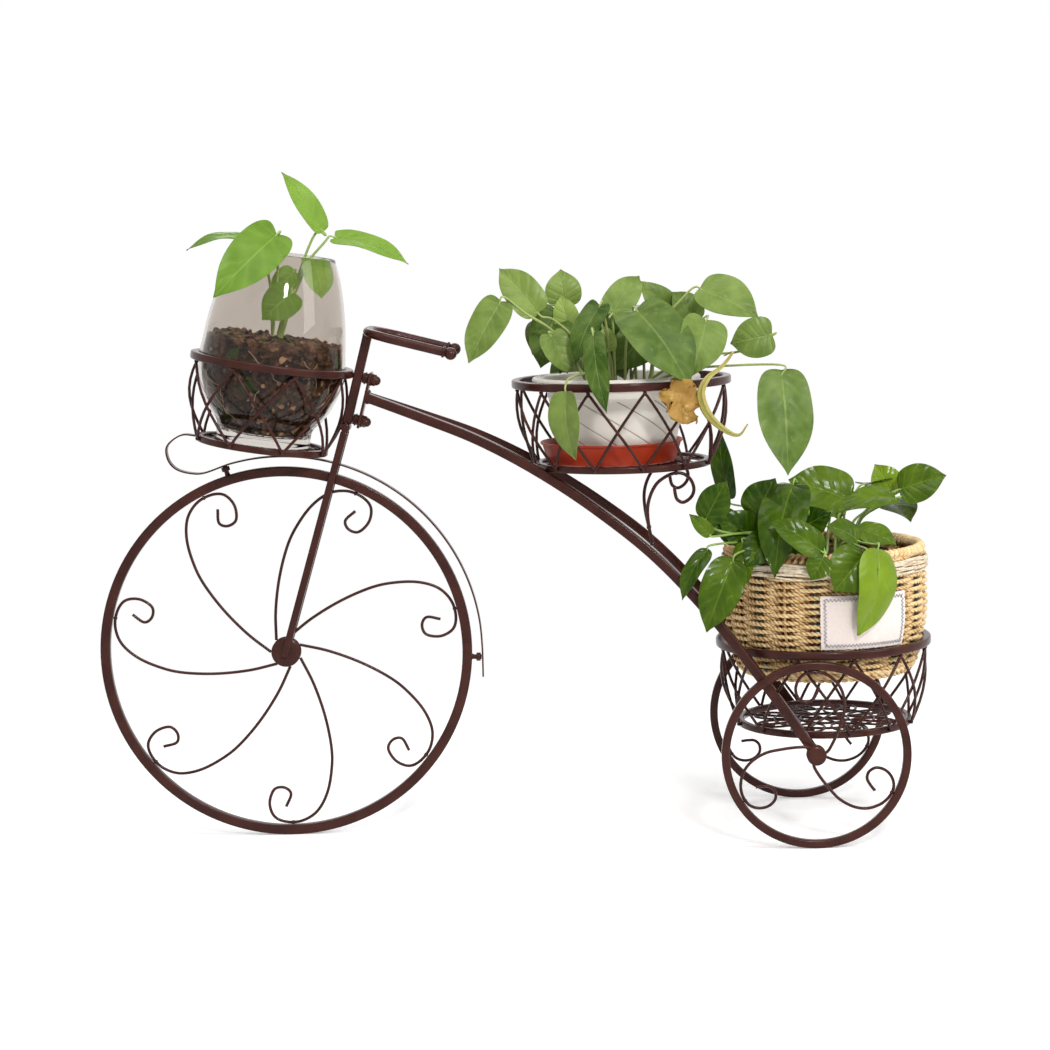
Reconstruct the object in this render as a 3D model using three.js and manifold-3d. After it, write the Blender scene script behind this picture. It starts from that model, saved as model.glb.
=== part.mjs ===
// A metal plant stand shaped like an old bicycle: one big front wheel, two small rear wheels,
// three open baskets, and in them a glass vase, a ceramic pot and a straw basket with plants.
// Millimetres. +X runs from the front wheel to the rear wheels, +Y away from the viewer, +Z up.
// The origin is the point where the front wheel stands on the floor.

import * as THREE from 'three';
import { mergeVertices } from 'three/addons/utils/BufferGeometryUtils.js';
import Module from 'manifold-3d';

// Clearances
const fitGap = 0.3;
const overrun = 2;

// Wheels
const frontWheelRadius = 212;
const frontTubeSize = 11;
const rearWheelRadius = 103.5;
const rearTubeSize = 9;
const wheelbase = 590;
const spokeRadius = 1.6;
const frontHubRadius = 16.7;
const frontBarrelRadius = 11;
const rearHubRadius = 10.7;
const rearBarrelRadius = 6.5;
const hubFlange = 2;
const frontSpokeCount = 7;
const firstSpokeAngle = 113.4;
const rearSpokeCount = 3;
const rearSpokeEnds = { near: 207, far: 207 };
const hubBarrelWidth = 8.4;

// Fork, post and handlebar
const forkRake = 17;
const forkLength = 266;
const bladeSize = 8;
const crownRadius = 5;
const postRake = 15.2;
const postSize = 10;
const postHeight = 111.5;
const handlebarWidth = 100;
const handlebarReach = 90;
const handlebarCorner = 34;
const handlebarRadius = 5;
const ballRadius = 7;

// Head plate and its two bolts
const plateThickness = 3;
const plateWidth = 26;
const plateLength = 64;
const plateStart = 3;
const boltSpacing = 48;
const lowerBoltHeight = 11;
const boltRadius = 3;
const collarRadius = 6;
const collarThickness = 6;
const acornRadius = 6.6;
const acornHexHeight = 5;
const acornDome = 5.5;
const acornBore = 5;

// Rails
const railSize = 10.5;
const railFrontSpread = 14.4;
const railJoinHeight = 39;

// Baskets
const frontTopRadius = 92;
const frontBottomRadius = 74.5;
const frontBasketHeight = 92;
const frontBasketTilt = 9.2;
const frontRingJoin = 60;
const rackTopRadius = 123.2;
const rackTaper = 24.6;
const rackHeight = 92;
const middleBasketShare = 0.5893;
const middleBasketRise = 163.1;
const rearBasketSetback = 20.3;
const rearBasketShrink = 2;
const ringTube = 9;
const bottomRingTube = 7.5;
const latticeRadius = 1.6;
const frontBulge = 3.6;
const rackBulge = 5;
const grilleRadius = 1.6;
const grilleRingShare = 0.6;
const frontLegCount = 8;
const frontFirstAngle = 23.5;
const rackLegCount = 12;
const rackFirstAngle = -18.5;

// Scroll brackets and mudguard
const bracketRodRadius = 1.9;
const bracketSetback = 29.2;
const mudguardRadius = 223.6;
const mudguardWidth = 12;
const mudguardThickness = 1.6;
const mudguardTail = 34;
const mudguardCurl = 44;
const mudguardArcStart = 112;
const mudguardArcStep = 8;
const frontStayAngle = 106;
const rearStayAngle = -3;
const stayRadius = 2.6;
const stayNutRadius = 4.6;
const stayNutHeight = 5;

// Glass vase
const vaseHeight = 214;
const vaseBelly = 81.8;
const vaseFoot = 51;
const vaseWall = 3;
const vaseSoilDepth = 100;

// Ceramic pot and saucer
const potHeight = 94;
const potRimClearance = 19.7;
const potFootClearance = 9.6;
const potWall = 5;
const potRimHeight = 8;
const potRimOverhang = 16.5;
const potShift = 6.8;
const saucerOffset = -12.4;
const saucerClearance = 18.6;
const saucerFlare = 8;
const saucerHeight = 24;
const saucerWall = 2.5;
const potSoilShare = 0.24;
const potRimInset = 13;

// Straw basket and its label
const strawHeight = 145;
const strawBulge = 7;
const strawRimInset = 2.5;
const strawTaper = 14;
const strawWall = 8;
const strawRise = 58;
const strawOffset = 2.5;
const strawBellyShare = 0.52;
const strawLowShare = 0.5;
const strawLowOutShare = 0.75;
const labelWidth = 104;
const labelHeight = 60;
const labelThickness = 1.2;
const labelTurn = 18;

// Plants
const soilBelowRim = 13;
const leafThickness = 1.4;
const stalkRadius = 1.7;
const crownSize = 16;
const ledgeClear = 13;
const middlePlantSpread = 56.8;
const rearPlantSpread = 46.5;
const vasePlantReach = 140;

// Counts of flat sides
const frontRimSides = 60;
const rearRimSides = 36;
const ringSides = 36;
const potSides = 24;

const paint = new THREE.MeshStandardMaterial({ color: 0x34191a, roughness: 0.35, metalness: 0.4 });
const glass = new THREE.MeshStandardMaterial({ color: 0xb9a9a4, roughness: 0.05, transparent: true });
glass.opacity = 0.4;
const glaze = new THREE.MeshStandardMaterial({ color: 0xd6cdc0, roughness: 0.5 });
const terracotta = new THREE.MeshStandardMaterial({ color: 0xb23c17, roughness: 0.5 });
const straw = new THREE.MeshStandardMaterial({ color: 0xc79f63, roughness: 0.85 });
const cloth = new THREE.MeshStandardMaterial({ color: 0xeddfd6, roughness: 0.95 });
const soil = new THREE.MeshStandardMaterial({ color: 0x33261c, roughness: 1 });
const paleLeaf = new THREE.MeshStandardMaterial({ color: 0x7fb13a, roughness: 0.4 });
const midLeaf = new THREE.MeshStandardMaterial({ color: 0x5a9038, roughness: 0.4 });
const darkLeaf = new THREE.MeshStandardMaterial({ color: 0x3c7a28, roughness: 0.35 });

const wasm = await Module();
wasm.setup();

const stand = new THREE.Group();
const radians = THREE.MathUtils.degToRad;

// Gives a geometry merged corners, no empty triangles and faces that point outwards.
function tidy(geometry) {
  const bare = geometry.clone();
  bare.deleteAttribute('normal');
  bare.deleteAttribute('uv');
  const merged = mergeVertices(bare);
  const place = merged.getAttribute('position');
  const corners = merged.getIndex().array;
  const kept = [];
  let volume = 0;
  const [a, b, c] = [new THREE.Vector3(), new THREE.Vector3(), new THREE.Vector3()];
  for (let i = 0; i < corners.length; i += 3) {
    const [p, q, r] = [corners[i], corners[i + 1], corners[i + 2]];
    if (p === q || q === r || r === p) continue;
    kept.push(p, q, r);
    a.fromBufferAttribute(place, p);
    b.fromBufferAttribute(place, q);
    c.fromBufferAttribute(place, r);
    volume += a.dot(b.cross(c));
  }
  if (volume < 0) kept.reverse();
  merged.setIndex(kept);
  return merged;
}

function toSolid(geometry) {
  const clean = tidy(geometry);
  return new wasm.Manifold(new wasm.Mesh({
    numProp: 3,
    vertProperties: Float32Array.from(clean.getAttribute('position').array),
    triVerts: Uint32Array.from(clean.getIndex().array),
  }));
}

function fromSolid(solid) {
  const mesh = solid.getMesh();
  const geometry = new THREE.BufferGeometry();
  geometry.setAttribute('position', new THREE.BufferAttribute(mesh.vertProperties, 3));
  geometry.setIndex(new THREE.BufferAttribute(mesh.triVerts, 1));
  return geometry;
}

function fuse(geometries) {
  return fromSolid(geometries.map(toSolid).reduce((whole, next) => whole.add(next)));
}

function cut(geometry, cutters) {
  return fromSolid(cutters.map(toSolid).reduce((left, cutter) => left.subtract(cutter), toSolid(geometry)));
}

// Fills the small pockets that crossing stalks and blades close in, and leaves the outer skin.
function fillPockets(geometry) {
  const place = geometry.getAttribute('position');
  const corners = geometry.getIndex().array;
  const owner = Array.from({ length: place.count }, (_, i) => i);
  const find = (i) => {
    let root = i;
    while (owner[root] !== root) root = owner[root];
    owner[i] = root;
    return root;
  };
  for (let i = 0; i < corners.length; i += 3) {
    owner[find(corners[i])] = find(corners[i + 1]);
    owner[find(corners[i + 1])] = find(corners[i + 2]);
  }
  const volumes = new Map();
  const [a, b, c] = [new THREE.Vector3(), new THREE.Vector3(), new THREE.Vector3()];
  for (let i = 0; i < corners.length; i += 3) {
    a.fromBufferAttribute(place, corners[i]);
    b.fromBufferAttribute(place, corners[i + 1]);
    c.fromBufferAttribute(place, corners[i + 2]);
    const shell = find(corners[i]);
    volumes.set(shell, (volumes.get(shell) ?? 0) + a.dot(b.cross(c)));
  }
  const kept = [...corners].filter((corner) => volumes.get(find(corner)) > 0);
  const filled = new THREE.BufferGeometry();
  filled.setAttribute('position', place);
  filled.setIndex(kept);
  return filled;
}

// Adds one named piece to a group.
function add(name, geometry, material, group = stand) {
  const clean = tidy(geometry);
  clean.computeVertexNormals();
  const mesh = new THREE.Mesh(clean, material);
  mesh.name = name;
  group.add(mesh);
  return mesh;
}

// A profile of [radius, height] points turned about Z.
function turn(profile, sides, firstAngle = 0) {
  const points = profile.map(([radius, height]) => new THREE.Vector2(radius, height));
  const geometry = new THREE.LatheGeometry(points, sides, firstAngle, 2 * Math.PI);
  return geometry.rotateX(Math.PI / 2);
}

// The same, about the Y axis, as a wheel stands.
function turnUpright(profile, sides, firstAngle = 0) {
  const points = profile.map(([radius, height]) => new THREE.Vector2(radius, height));
  return new THREE.LatheGeometry(points, sides, firstAngle, 2 * Math.PI);
}

// A section swept along a curve.
function sweep(section, curve, steps) {
  return new THREE.ExtrudeGeometry(section, { steps, bevelEnabled: false, extrudePath: curve });
}

function roundSection(radius, sides) {
  const shape = new THREE.Shape();
  for (let i = 0; i < sides; i += 1) {
    const angle = (i + 0.5) * 2 * Math.PI / sides;
    const [x, y] = [radius * Math.cos(angle), radius * Math.sin(angle)];
    if (i === 0) shape.moveTo(x, y);
    else shape.lineTo(x, y);
  }
  return shape;
}

function flatSection(width, height) {
  const [w, h] = [width / 2, height / 2];
  const shape = new THREE.Shape();
  shape.moveTo(-w, -h);
  shape.lineTo(w, -h);
  shape.lineTo(w, h);
  shape.lineTo(-w, h);
  return shape;
}

function smooth(points) {
  return new THREE.CatmullRomCurve3(points, false, 'centripetal');
}

function rod(points, radius, sides, steps) {
  return sweep(roundSection(radius, sides), smooth(points), steps);
}

// A straight bar between two points, with its section's sides along X and Y when it stands upright.
function straightBar(from, to, section) {
  const length = from.distanceTo(to);
  const geometry = new THREE.ExtrudeGeometry(section, { depth: length, bevelEnabled: false });
  const along = to.clone().sub(from).normalize();
  const turnTo = new THREE.Quaternion().setFromUnitVectors(new THREE.Vector3(0, 0, 1), along);
  return geometry.applyQuaternion(turnTo).translate(from.x, from.y, from.z);
}

function cylinderBetween(from, to, radius, sides) {
  return straightBar(from, to, roundSection(radius, sides));
}

// A square tube bent into a ring, lying flat, with its middle at height 0.
function ring(outerRadius, tube, sides = ringSides) {
  const inner = outerRadius - tube;
  const half = tube / 2;
  const bottom = [[inner, -half], [outerRadius, -half]];
  const top = [[outerRadius, half], [inner, half]];
  return turn([...bottom, ...top, bottom[0]], sides);
}

// How far the flat sides of a ring's hole are from its middle.
function flatInside(radius) {
  return radius * Math.cos(Math.PI / ringSides);
}

// Wheels. The rims are faceted so that a flat facet, not a corner, stands on the floor.
function wheelRim(radius, tube, sides) {
  const grow = 1 / Math.cos(Math.PI / sides);
  const [outer, inner, half] = [radius * grow, (radius - tube) * grow, tube / 2];
  const profile = [[inner, -half], [outer, -half], [outer, half], [inner, half], [inner, -half]];
  return turnUpright(profile, sides, Math.PI / sides);
}

function hubSpool(flangeRadius, barrelRadius) {
  const barrel = hubBarrelWidth / 2;
  const face = barrel + hubFlange;
  const profile = [[0, -face], [flangeRadius, -face], [flangeRadius, -barrel], [barrelRadius, -barrel],
    [barrelRadius, barrel], [flangeRadius, barrel], [flangeRadius, face], [0, face]];
  return turnUpright(profile, 16);
}

// A spoke in the wheel's plane: angles in degrees, radii as shares of the rim's inside radius.
const frontSpokeAngles = [-66.7, -40.1, -30.8, -24.8, -20.1, -15.6, -10.7, -5.2, 0.2, 4.2, 6.2, 4.9, 0.8,
  -1.9, 0];
const frontSpokeShares = [0.087, 0.244, 0.433, 0.617, 0.746, 0.856, 0.94, 0.985, 0.99, 0.955, 0.881, 0.801,
  0.786, 0.823, 0.896];
const rearSpokeAngles = [58, 73.6, 51.4, 38.2, 31, 23.1, 15.5, 7, -0.9, -8.7, -14.8, -19.1, -19.5, -13.8,
  -6.6, -2.5, 0];
const rearSpokeShares = [0.05, 0.118, 0.234, 0.4, 0.58, 0.741, 0.857, 0.937, 0.965, 0.962, 0.913, 0.817,
  0.706, 0.639, 0.648, 0.713, 0.796];

function spokePoints(angles, shares, rimInside, barrelRadius, endAngle) {
  const reach = rimInside - spokeRadius - fitGap;
  const points = angles.map((angle, i) => {
    const radius = Math.min(Math.max(rimInside * shares[i], barrelRadius + fitGap), reach);
    const turned = radians(endAngle - angle);
    return new THREE.Vector3(radius * Math.cos(turned), 0, radius * Math.sin(turned));
  });
  const start = points[0].clone().setLength(barrelRadius + fitGap + spokeRadius);
  return [start, ...points];
}

const frontHubZ = frontWheelRadius;
const frontRimInside = frontWheelRadius - frontTubeSize;
const frontWheel = new THREE.Group();
frontWheel.position.set(0, 0, frontHubZ);
stand.add(frontWheel);
add('front_rim', wheelRim(frontWheelRadius, frontTubeSize, frontRimSides), paint, frontWheel);
add('front_hub', hubSpool(frontHubRadius, frontBarrelRadius), paint, frontWheel);
for (let i = 0; i < frontSpokeCount; i += 1) {
  const endAngle = firstSpokeAngle - i * 360 / frontSpokeCount;
  const points = spokePoints(frontSpokeAngles, frontSpokeShares, frontRimInside, frontBarrelRadius, endAngle);
  add(`front_spoke_${i + 1}`, rod(points, spokeRadius, 4, 17), paint, frontWheel);
}

// The rear wheels stand just outside the rear basket's top ring, to which their rims are welded.
const rackBottomRadius = rackTopRadius - rackTaper;
const rearTopRadius = rackTopRadius - rearBasketShrink;
const hubHalfWidth = hubBarrelWidth / 2 + hubFlange;
const rimTopFlat = rearWheelRadius * Math.tan(Math.PI / rearRimSides);
const ringAtWheel = Math.sqrt(rearTopRadius ** 2 - (rearBasketSetback - rimTopFlat) ** 2);
const rearTrackHalf = ringAtWheel + fitGap + rearTubeSize / 2;
const rearRimInside = rearWheelRadius - rearTubeSize;
for (const [side, sign] of [['near', -1], ['far', 1]]) {
  const wheel = new THREE.Group();
  wheel.position.set(wheelbase, sign * rearTrackHalf, rearWheelRadius);
  stand.add(wheel);
  add(`rear_rim_${side}`, wheelRim(rearWheelRadius, rearTubeSize, rearRimSides), paint, wheel);
  const spider = [hubSpool(rearHubRadius, rearBarrelRadius)];
  for (let i = 0; i < rearSpokeCount; i += 1) {
    const endAngle = rearSpokeEnds[side] - i * 360 / rearSpokeCount;
    const points = spokePoints(rearSpokeAngles, rearSpokeShares, rearRimInside, -fitGap, endAngle);
    spider.push(rod(points, spokeRadius, 4, 12));
  }
  add(`rear_spokes_${side}`, fuse(spider), paint, wheel);
}

// Fork: two blades outside the hub's flanges, and a short round crown across their tops.
const forkAlong = new THREE.Vector3(Math.sin(radians(forkRake)), 0, Math.cos(radians(forkRake)));
const hubCentre = new THREE.Vector3(0, 0, frontHubZ);
const crownCentre = hubCentre.clone().addScaledVector(forkAlong, forkLength);
const bladeOffset = hubHalfWidth + fitGap + bladeSize / 2;
for (const [side, sign] of [['near', -1], ['far', 1]]) {
  const low = hubCentre.clone().addScaledVector(forkAlong, -bladeSize / 2);
  const high = crownCentre.clone().addScaledVector(forkAlong, -crownRadius - fitGap);
  low.y = sign * bladeOffset;
  high.y = sign * bladeOffset;
  add(`fork_blade_${side}`, straightBar(low, high, flatSection(bladeSize, bladeSize)), paint);
}
const crownHalf = bladeOffset + bladeSize / 2;
const crownEnds = [-crownHalf, crownHalf].map((y) => crownCentre.clone().setY(y));
add('fork_crown', cylinderBetween(crownEnds[0], crownEnds[1], crownRadius, 16), paint);

// Head: everything here stands in a group whose Z runs up the post and whose X points to the rear.
const head = new THREE.Group();
head.position.copy(crownCentre);
head.rotation.y = radians(postRake);
stand.add(head);
head.updateMatrixWorld(true);
const upperBoltHeight = lowerBoltHeight + boltSpacing;
const plateFace = postSize / 2 + fitGap + collarThickness + fitGap;
const plateBack = plateFace + plateThickness;
const along = (x, y, z) => new THREE.Vector3(x, y, z);
// Outlines of an acorn nut's dome and of a handlebar ball, as shares of their radius and height.
const domeShares = [[0.8, 0.45], [0.55, 0.85], [0, 1]];
const ballShares = [[0, 0], [0.64, 0], [0.94, 0.23], [1, 0.51], [0.72, 0.85], [0.3, 0.98], [0, 1]];

function boltHole(height) {
  const [from, to] = [along(-postSize, 0, height), along(plateBack + overrun, 0, height)];
  return cylinderBetween(from, to, boltRadius + fitGap, 12);
}

const postTop = postHeight - handlebarRadius - fitGap;
const postFoot = along(0, 0, crownRadius + fitGap);
const postBar = straightBar(postFoot, along(0, 0, postTop), flatSection(postSize, postSize));
add('head_post', cut(postBar, [boltHole(lowerBoltHeight), boltHole(upperBoltHeight)]), paint, head);
const plate = new THREE.BoxGeometry(plateThickness, plateWidth, plateLength);
plate.translate(plateFace + plateThickness / 2, 0, plateStart + plateLength / 2);
add('head_plate', cut(plate, [boltHole(lowerBoltHeight), boltHole(upperBoltHeight)]), paint, head);

for (const [name, height] of [['lower', lowerBoltHeight], ['upper', upperBoltHeight]]) {
  const nutFace = plateBack + fitGap;
  const boltEnd = nutFace + acornBore - fitGap;
  const shaft = cylinderBetween(along(-postSize / 2, 0, height), along(boltEnd, 0, height), boltRadius, 12);
  const collarFrom = postSize / 2 + fitGap;
  const collarTo = collarFrom + collarThickness;
  const collar = cylinderBetween(along(collarFrom, 0, height), along(collarTo, 0, height), collarRadius, 6);
  add(`${name}_bolt`, fuse([shaft, collar]), paint, head);
  const hexEnd = nutFace + acornHexHeight;
  const hex = cylinderBetween(along(nutFace, 0, height), along(hexEnd, 0, height), acornRadius, 6);
  const domeStart = acornRadius * domeShares[0][0];
  const domeProfile = [[0, -overrun], [domeStart, -overrun],
    ...domeShares.map(([radius, rise]) => [acornRadius * radius, acornDome * rise])];
  const dome = turn(domeProfile, 12).rotateY(Math.PI / 2).translate(hexEnd, 0, height);
  const boreFrom = along(nutFace - overrun, 0, height);
  const bore = cylinderBetween(boreFrom, along(nutFace + acornBore, 0, height), boltRadius + fitGap, 12);
  add(`${name}_acorn_nut`, cut(fuse([hex, dome]), [bore]), paint, head);
}

// Handlebar: a round tube bent to a U across the top of the post, with a ball on each end.
const cornerPoints = (side) => [0.5, 1, 1.5].map((step) => {
  const angle = step * Math.PI / 4;
  return along(
    handlebarCorner * (1 - Math.sin(angle)),
    side * (handlebarWidth / 2 - handlebarCorner * (1 - Math.cos(angle))),
    postHeight,
  );
});
const barPath = (side) => [
  along(handlebarReach, side * handlebarWidth / 2, postHeight),
  along((handlebarReach + handlebarCorner) / 2, side * handlebarWidth / 2, postHeight),
  along(handlebarCorner, side * handlebarWidth / 2, postHeight),
  ...cornerPoints(side),
  along(0, side * (handlebarWidth / 2 - handlebarCorner), postHeight),
];
const handlebarPath = [...barPath(-1), ...barPath(1).reverse()];
add('handlebar', rod(handlebarPath, handlebarRadius, 8, 26), paint, head);
for (const [side, sign] of [['near', -1], ['far', 1]]) {
  const profile = ballShares.map(([radius, rise]) => [ballRadius * radius, 2 * ballRadius * rise]);
  const ball = turn(profile, 14).rotateY(Math.PI / 2);
  ball.translate(handlebarReach + fitGap, sign * handlebarWidth / 2, postHeight);
  add(`handlebar_ball_${side}`, ball, paint, head);
}

// Rails: two square tubes from the head plate to the rear hubs, in a V when seen from above.
// The table gives their line as shares of the run to the rear hubs and of the drop.
const railShares = [[0, 0], [0.12, 0.056], [0.258, 0.125], [0.394, 0.216], [0.528, 0.328], [0.661, 0.464],
  [0.793, 0.645], [0.912, 0.843], [1, 1]];
const railStart = head.localToWorld(along(plateBack - overrun, 0, railJoinHeight));
const railRun = wheelbase - railStart.x;
const railDrop = railStart.z - rearWheelRadius;
const railLean = Math.atan2(rearTrackHalf, railRun);
const railEndOffset = rearTrackHalf - hubHalfWidth - fitGap - railSize / 2 * (1 + Math.sin(railLean));
const railSpread = railEndOffset - railFrontSpread / 2;
const railTurn = Math.atan2(railSpread, railRun);
const railLength = Math.hypot(railSpread, railRun);
const railCurve = smooth(railShares.map(([run, drop]) => along(railLength * run, 0, -railDrop * drop)));
const headBlock = new THREE.BoxGeometry(plateBack * 4, plateWidth * 3, plateLength * 3);
headBlock.translate(plateBack + fitGap - plateBack * 2, 0, plateLength / 2);
headBlock.applyMatrix4(head.matrixWorld);

function placeRail(geometry, sign) {
  return geometry.rotateZ(sign * railTurn).translate(railStart.x, sign * railFrontSpread / 2, railStart.z);
}

function railBar(size, sign) {
  return placeRail(sweep(flatSection(size, size), railCurve, 22), sign);
}

for (const [side, sign] of [['near', -1], ['far', 1]]) {
  add(`rail_${side}`, cut(railBar(railSize, sign), [headBlock]), paint);
}
const railCutters = [-1, 1].map((sign) => railBar(railSize + 2 * fitGap, sign));

// The rail's middle line at a given X, on the near side.
function railAt(x) {
  const points = railCurve.getPoints(200).map((point) => {
    const [run, height] = [point.x, point.z];
    return along(
      railStart.x + run * Math.cos(railTurn),
      -(railFrontSpread / 2 + run * Math.sin(railTurn)),
      railStart.z + height,
    );
  });
  const next = Math.max(1, points.findIndex((point) => point.x >= x));
  const share = (x - points[next - 1].x) / (points[next].x - points[next - 1].x);
  return points[next - 1].clone().lerp(points[next], share);
}

// Baskets: a heavy top ring, a lighter bottom ring, two zigzag rods that cross, and a floor grille.
// In a basket's group the origin is the top ring's middle. The legs of a zigzag rod run from under
// the top ring to the outside of the bottom ring, and one rod passes outside the other. The ends
// of a rod meet halfway down a leg.
function zigzagRod(size, inset, firstLeg) {
  const topRadius = size.top - ringTube / 2;
  const bottomRadius = size.bottom + latticeRadius + fitGap;
  const topZ = -ringTube / 2 - fitGap - latticeRadius;
  const bottomZ = -size.height;
  const points = [];
  for (let half = 1; half <= size.count * 2; half += 1) {
    const leg = Math.floor(half / 2);
    const share = half / 2 - leg;
    const down = leg % 2 === 0 ? share : 1 - share;
    const angle = radians(size.firstAngle + (firstLeg + leg + share) * 360 / size.count);
    const swell = (size.bulge - inset) * Math.sin(Math.PI * share);
    const radius = topRadius + (bottomRadius - topRadius) * down + swell;
    points.push(along(radius * Math.sin(angle), -radius * Math.cos(angle), topZ + (bottomZ - topZ) * down));
  }
  const [first, last] = [points[0], points[points.length - 1]];
  const joint = first.clone().lerp(last, fitGap * 2 / first.distanceTo(last));
  return rod([...points, joint], latticeRadius, 4, points.length);
}

function flatRing(radius, sides) {
  const [outer, inner, half] = [radius + grilleRadius, radius - grilleRadius, grilleRadius - fitGap];
  return turn([[inner, -half], [outer, -half], [outer, half], [inner, half], [inner, -half]], sides);
}

function grilleStar(bottomRadius, height) {
  const reach = flatInside(bottomRadius - bottomRingTube) - fitGap;
  const armCount = 8;
  const shape = new THREE.Shape();
  for (let i = 0; i < armCount; i += 1) {
    const angle = (i + 0.5) * 2 * Math.PI / armCount;
    const valley = angle + Math.PI / armCount;
    const inner = grilleRadius / Math.sin(Math.PI / armCount);
    for (const side of [-1, 1]) {
      const x = reach * Math.cos(angle) - side * grilleRadius * Math.sin(angle);
      const y = reach * Math.sin(angle) + side * grilleRadius * Math.cos(angle);
      if (i === 0 && side === -1) shape.moveTo(x, y);
      else shape.lineTo(x, y);
    }
    shape.lineTo(inner * Math.cos(valley), inner * Math.sin(valley));
  }
  const star = new THREE.ExtrudeGeometry(shape, { depth: grilleRadius * 2, bevelEnabled: false });
  star.translate(0, 0, -grilleRadius);
  return fuse([star, flatRing(bottomRadius * grilleRingShare, 16)]).translate(0, 0, -height);
}

function basket(name, group, size) {
  const bottomRing = ring(size.bottom, bottomRingTube).translate(0, 0, -size.height);
  group.updateMatrixWorld(true);
  const back = group.matrixWorld.clone().invert();
  const cutters = size.onRails ? railCutters.map((cutter) => cutter.clone().applyMatrix4(back)) : [];
  add(`${name}_top_ring`, ring(size.top, ringTube), paint, group);
  add(`${name}_bottom_ring`, cut(bottomRing, cutters), paint, group);
  const innerInset = latticeRadius * 2 + fitGap;
  add(`${name}_zigzag_outer`, cut(zigzagRod(size, 0, 0), cutters), paint, group);
  add(`${name}_zigzag_inner`, cut(zigzagRod(size, innerInset, 1), cutters), paint, group);
  add(`${name}_grille`, grilleStar(size.bottom, size.height), paint, group);
}

// The front basket's top ring touches the post's front face.
const ringEdgeGap = fitGap + ringTube / 2 * Math.tan(radians(postRake - frontBasketTilt));
const ringContact = head.localToWorld(along(-postSize / 2, 0, frontRingJoin));
const frontBasket = new THREE.Group();
frontBasket.rotation.y = radians(frontBasketTilt);
const ringDirection = along(Math.cos(radians(frontBasketTilt)), 0, -Math.sin(radians(frontBasketTilt)));
frontBasket.position.copy(ringContact).addScaledVector(ringDirection, -(frontTopRadius + ringEdgeGap));
stand.add(frontBasket);
basket('front_basket', frontBasket, {
  top: frontTopRadius, bottom: frontBottomRadius, height: frontBasketHeight, bulge: frontBulge,
  count: frontLegCount, firstAngle: frontFirstAngle,
});

const middleBasketX = railStart.x + railRun * middleBasketShare;
const middleBasketZ = railAt(middleBasketX).z + middleBasketRise;
const middleBasket = new THREE.Group();
middleBasket.position.set(middleBasketX, 0, middleBasketZ);
stand.add(middleBasket);
basket('middle_basket', middleBasket, {
  top: rackTopRadius, bottom: rackBottomRadius, height: rackHeight, bulge: rackBulge,
  count: rackLegCount, firstAngle: rackFirstAngle, onRails: true,
});

const rearBasketZ = 2 * rearWheelRadius + ringTube / 2 - fitGap;
const rearBasket = new THREE.Group();
rearBasket.position.set(wheelbase + rearBasketSetback, 0, rearBasketZ);
stand.add(rearBasket);
basket('rear_basket', rearBasket, {
  top: rearTopRadius, bottom: rackBottomRadius, height: rackHeight, bulge: rackBulge,
  count: rackLegCount, firstAngle: rackFirstAngle, onRails: true,
});

// Scroll brackets from the rails up to the middle basket's bottom ring.
// The table gives the scroll as shares of its height, from its foot to its curled end.
const bracketShares = [[-0.36, 0], [-0.406, 0.245], [-0.42, 0.49], [-0.376, 0.686], [-0.277, 0.859],
  [-0.127, 0.964], [0, 1], [0.116, 0.978], [0.203, 0.897], [0.243, 0.788], [0.228, 0.691], [0.167, 0.616],
  [0.079, 0.578], [0.001, 0.627], [-0.025, 0.727], [-0.029, 0.795]];
const bracketStand = middleBasketX + bracketSetback;
const bracketY = -railAt(bracketStand).y;
const bottomRingLine = rackBottomRadius - bottomRingTube / 2;
const bracketTopX = middleBasketX + Math.sqrt(bottomRingLine ** 2 - bracketY ** 2);
const bottomRingUnder = middleBasketZ - rackHeight - bottomRingTube / 2;
const bracketTopZ = bottomRingUnder - fitGap - bracketRodRadius * Math.SQRT1_2;
const [railUphill, railDownhill] = [railAt(bracketStand - railSize), railAt(bracketStand + railSize)];
const railSlope = Math.atan2(railUphill.z - railDownhill.z, railDownhill.x - railUphill.x);
const railRise = railSize / 2 / Math.cos(railSlope) + bracketRodRadius * Math.tan(railSlope);
const bracketFootZ = railAt(bracketStand).z + railRise + fitGap + bracketRodRadius;
const bracketHeight = bracketTopZ - bracketFootZ;
for (const [side, sign] of [['near', -1], ['far', 1]]) {
  const points = bracketShares.map(([x, z]) => along(
    bracketTopX + bracketHeight * x,
    sign * bracketY,
    bracketFootZ + bracketHeight * z,
  ));
  add(`scroll_bracket_${side}`, rod(points, bracketRodRadius, 4, 22), paint);
}

// Mudguard: a flat strip that follows the front wheel, then curls up to the front basket's bottom ring.
// The table gives the curl as shares of its height, from the bottom ring to the strip's round part.
const curlShares = [[-0.33, 0.04], [-0.58, -0.06], [-0.77, -0.24], [-0.8, -0.44], [-0.72, -0.68],
  [-0.53, -0.86], [-0.2, -0.96]];
const stripInside = mudguardRadius - mudguardThickness / 2;
const bottomRingLeft = frontBasket.localToWorld(along(-frontBottomRadius - fitGap, 0, -frontBasketHeight));
const curlPoints = curlShares.map(([x, z]) => along(
  bottomRingLeft.x + mudguardCurl * x,
  0,
  bottomRingLeft.z + mudguardCurl * z,
));
const arcPoints = [];
const aroundHub = (radius, angle) => along(
  radius * Math.cos(radians(angle)),
  0,
  frontHubZ + radius * Math.sin(radians(angle)),
);
for (let angle = mudguardArcStart; angle >= 0; angle -= mudguardArcStep) {
  arcPoints.push(aroundHub(mudguardRadius, angle));
}
const tailEnd = along(mudguardRadius, 0, frontHubZ - mudguardTail);
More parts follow.
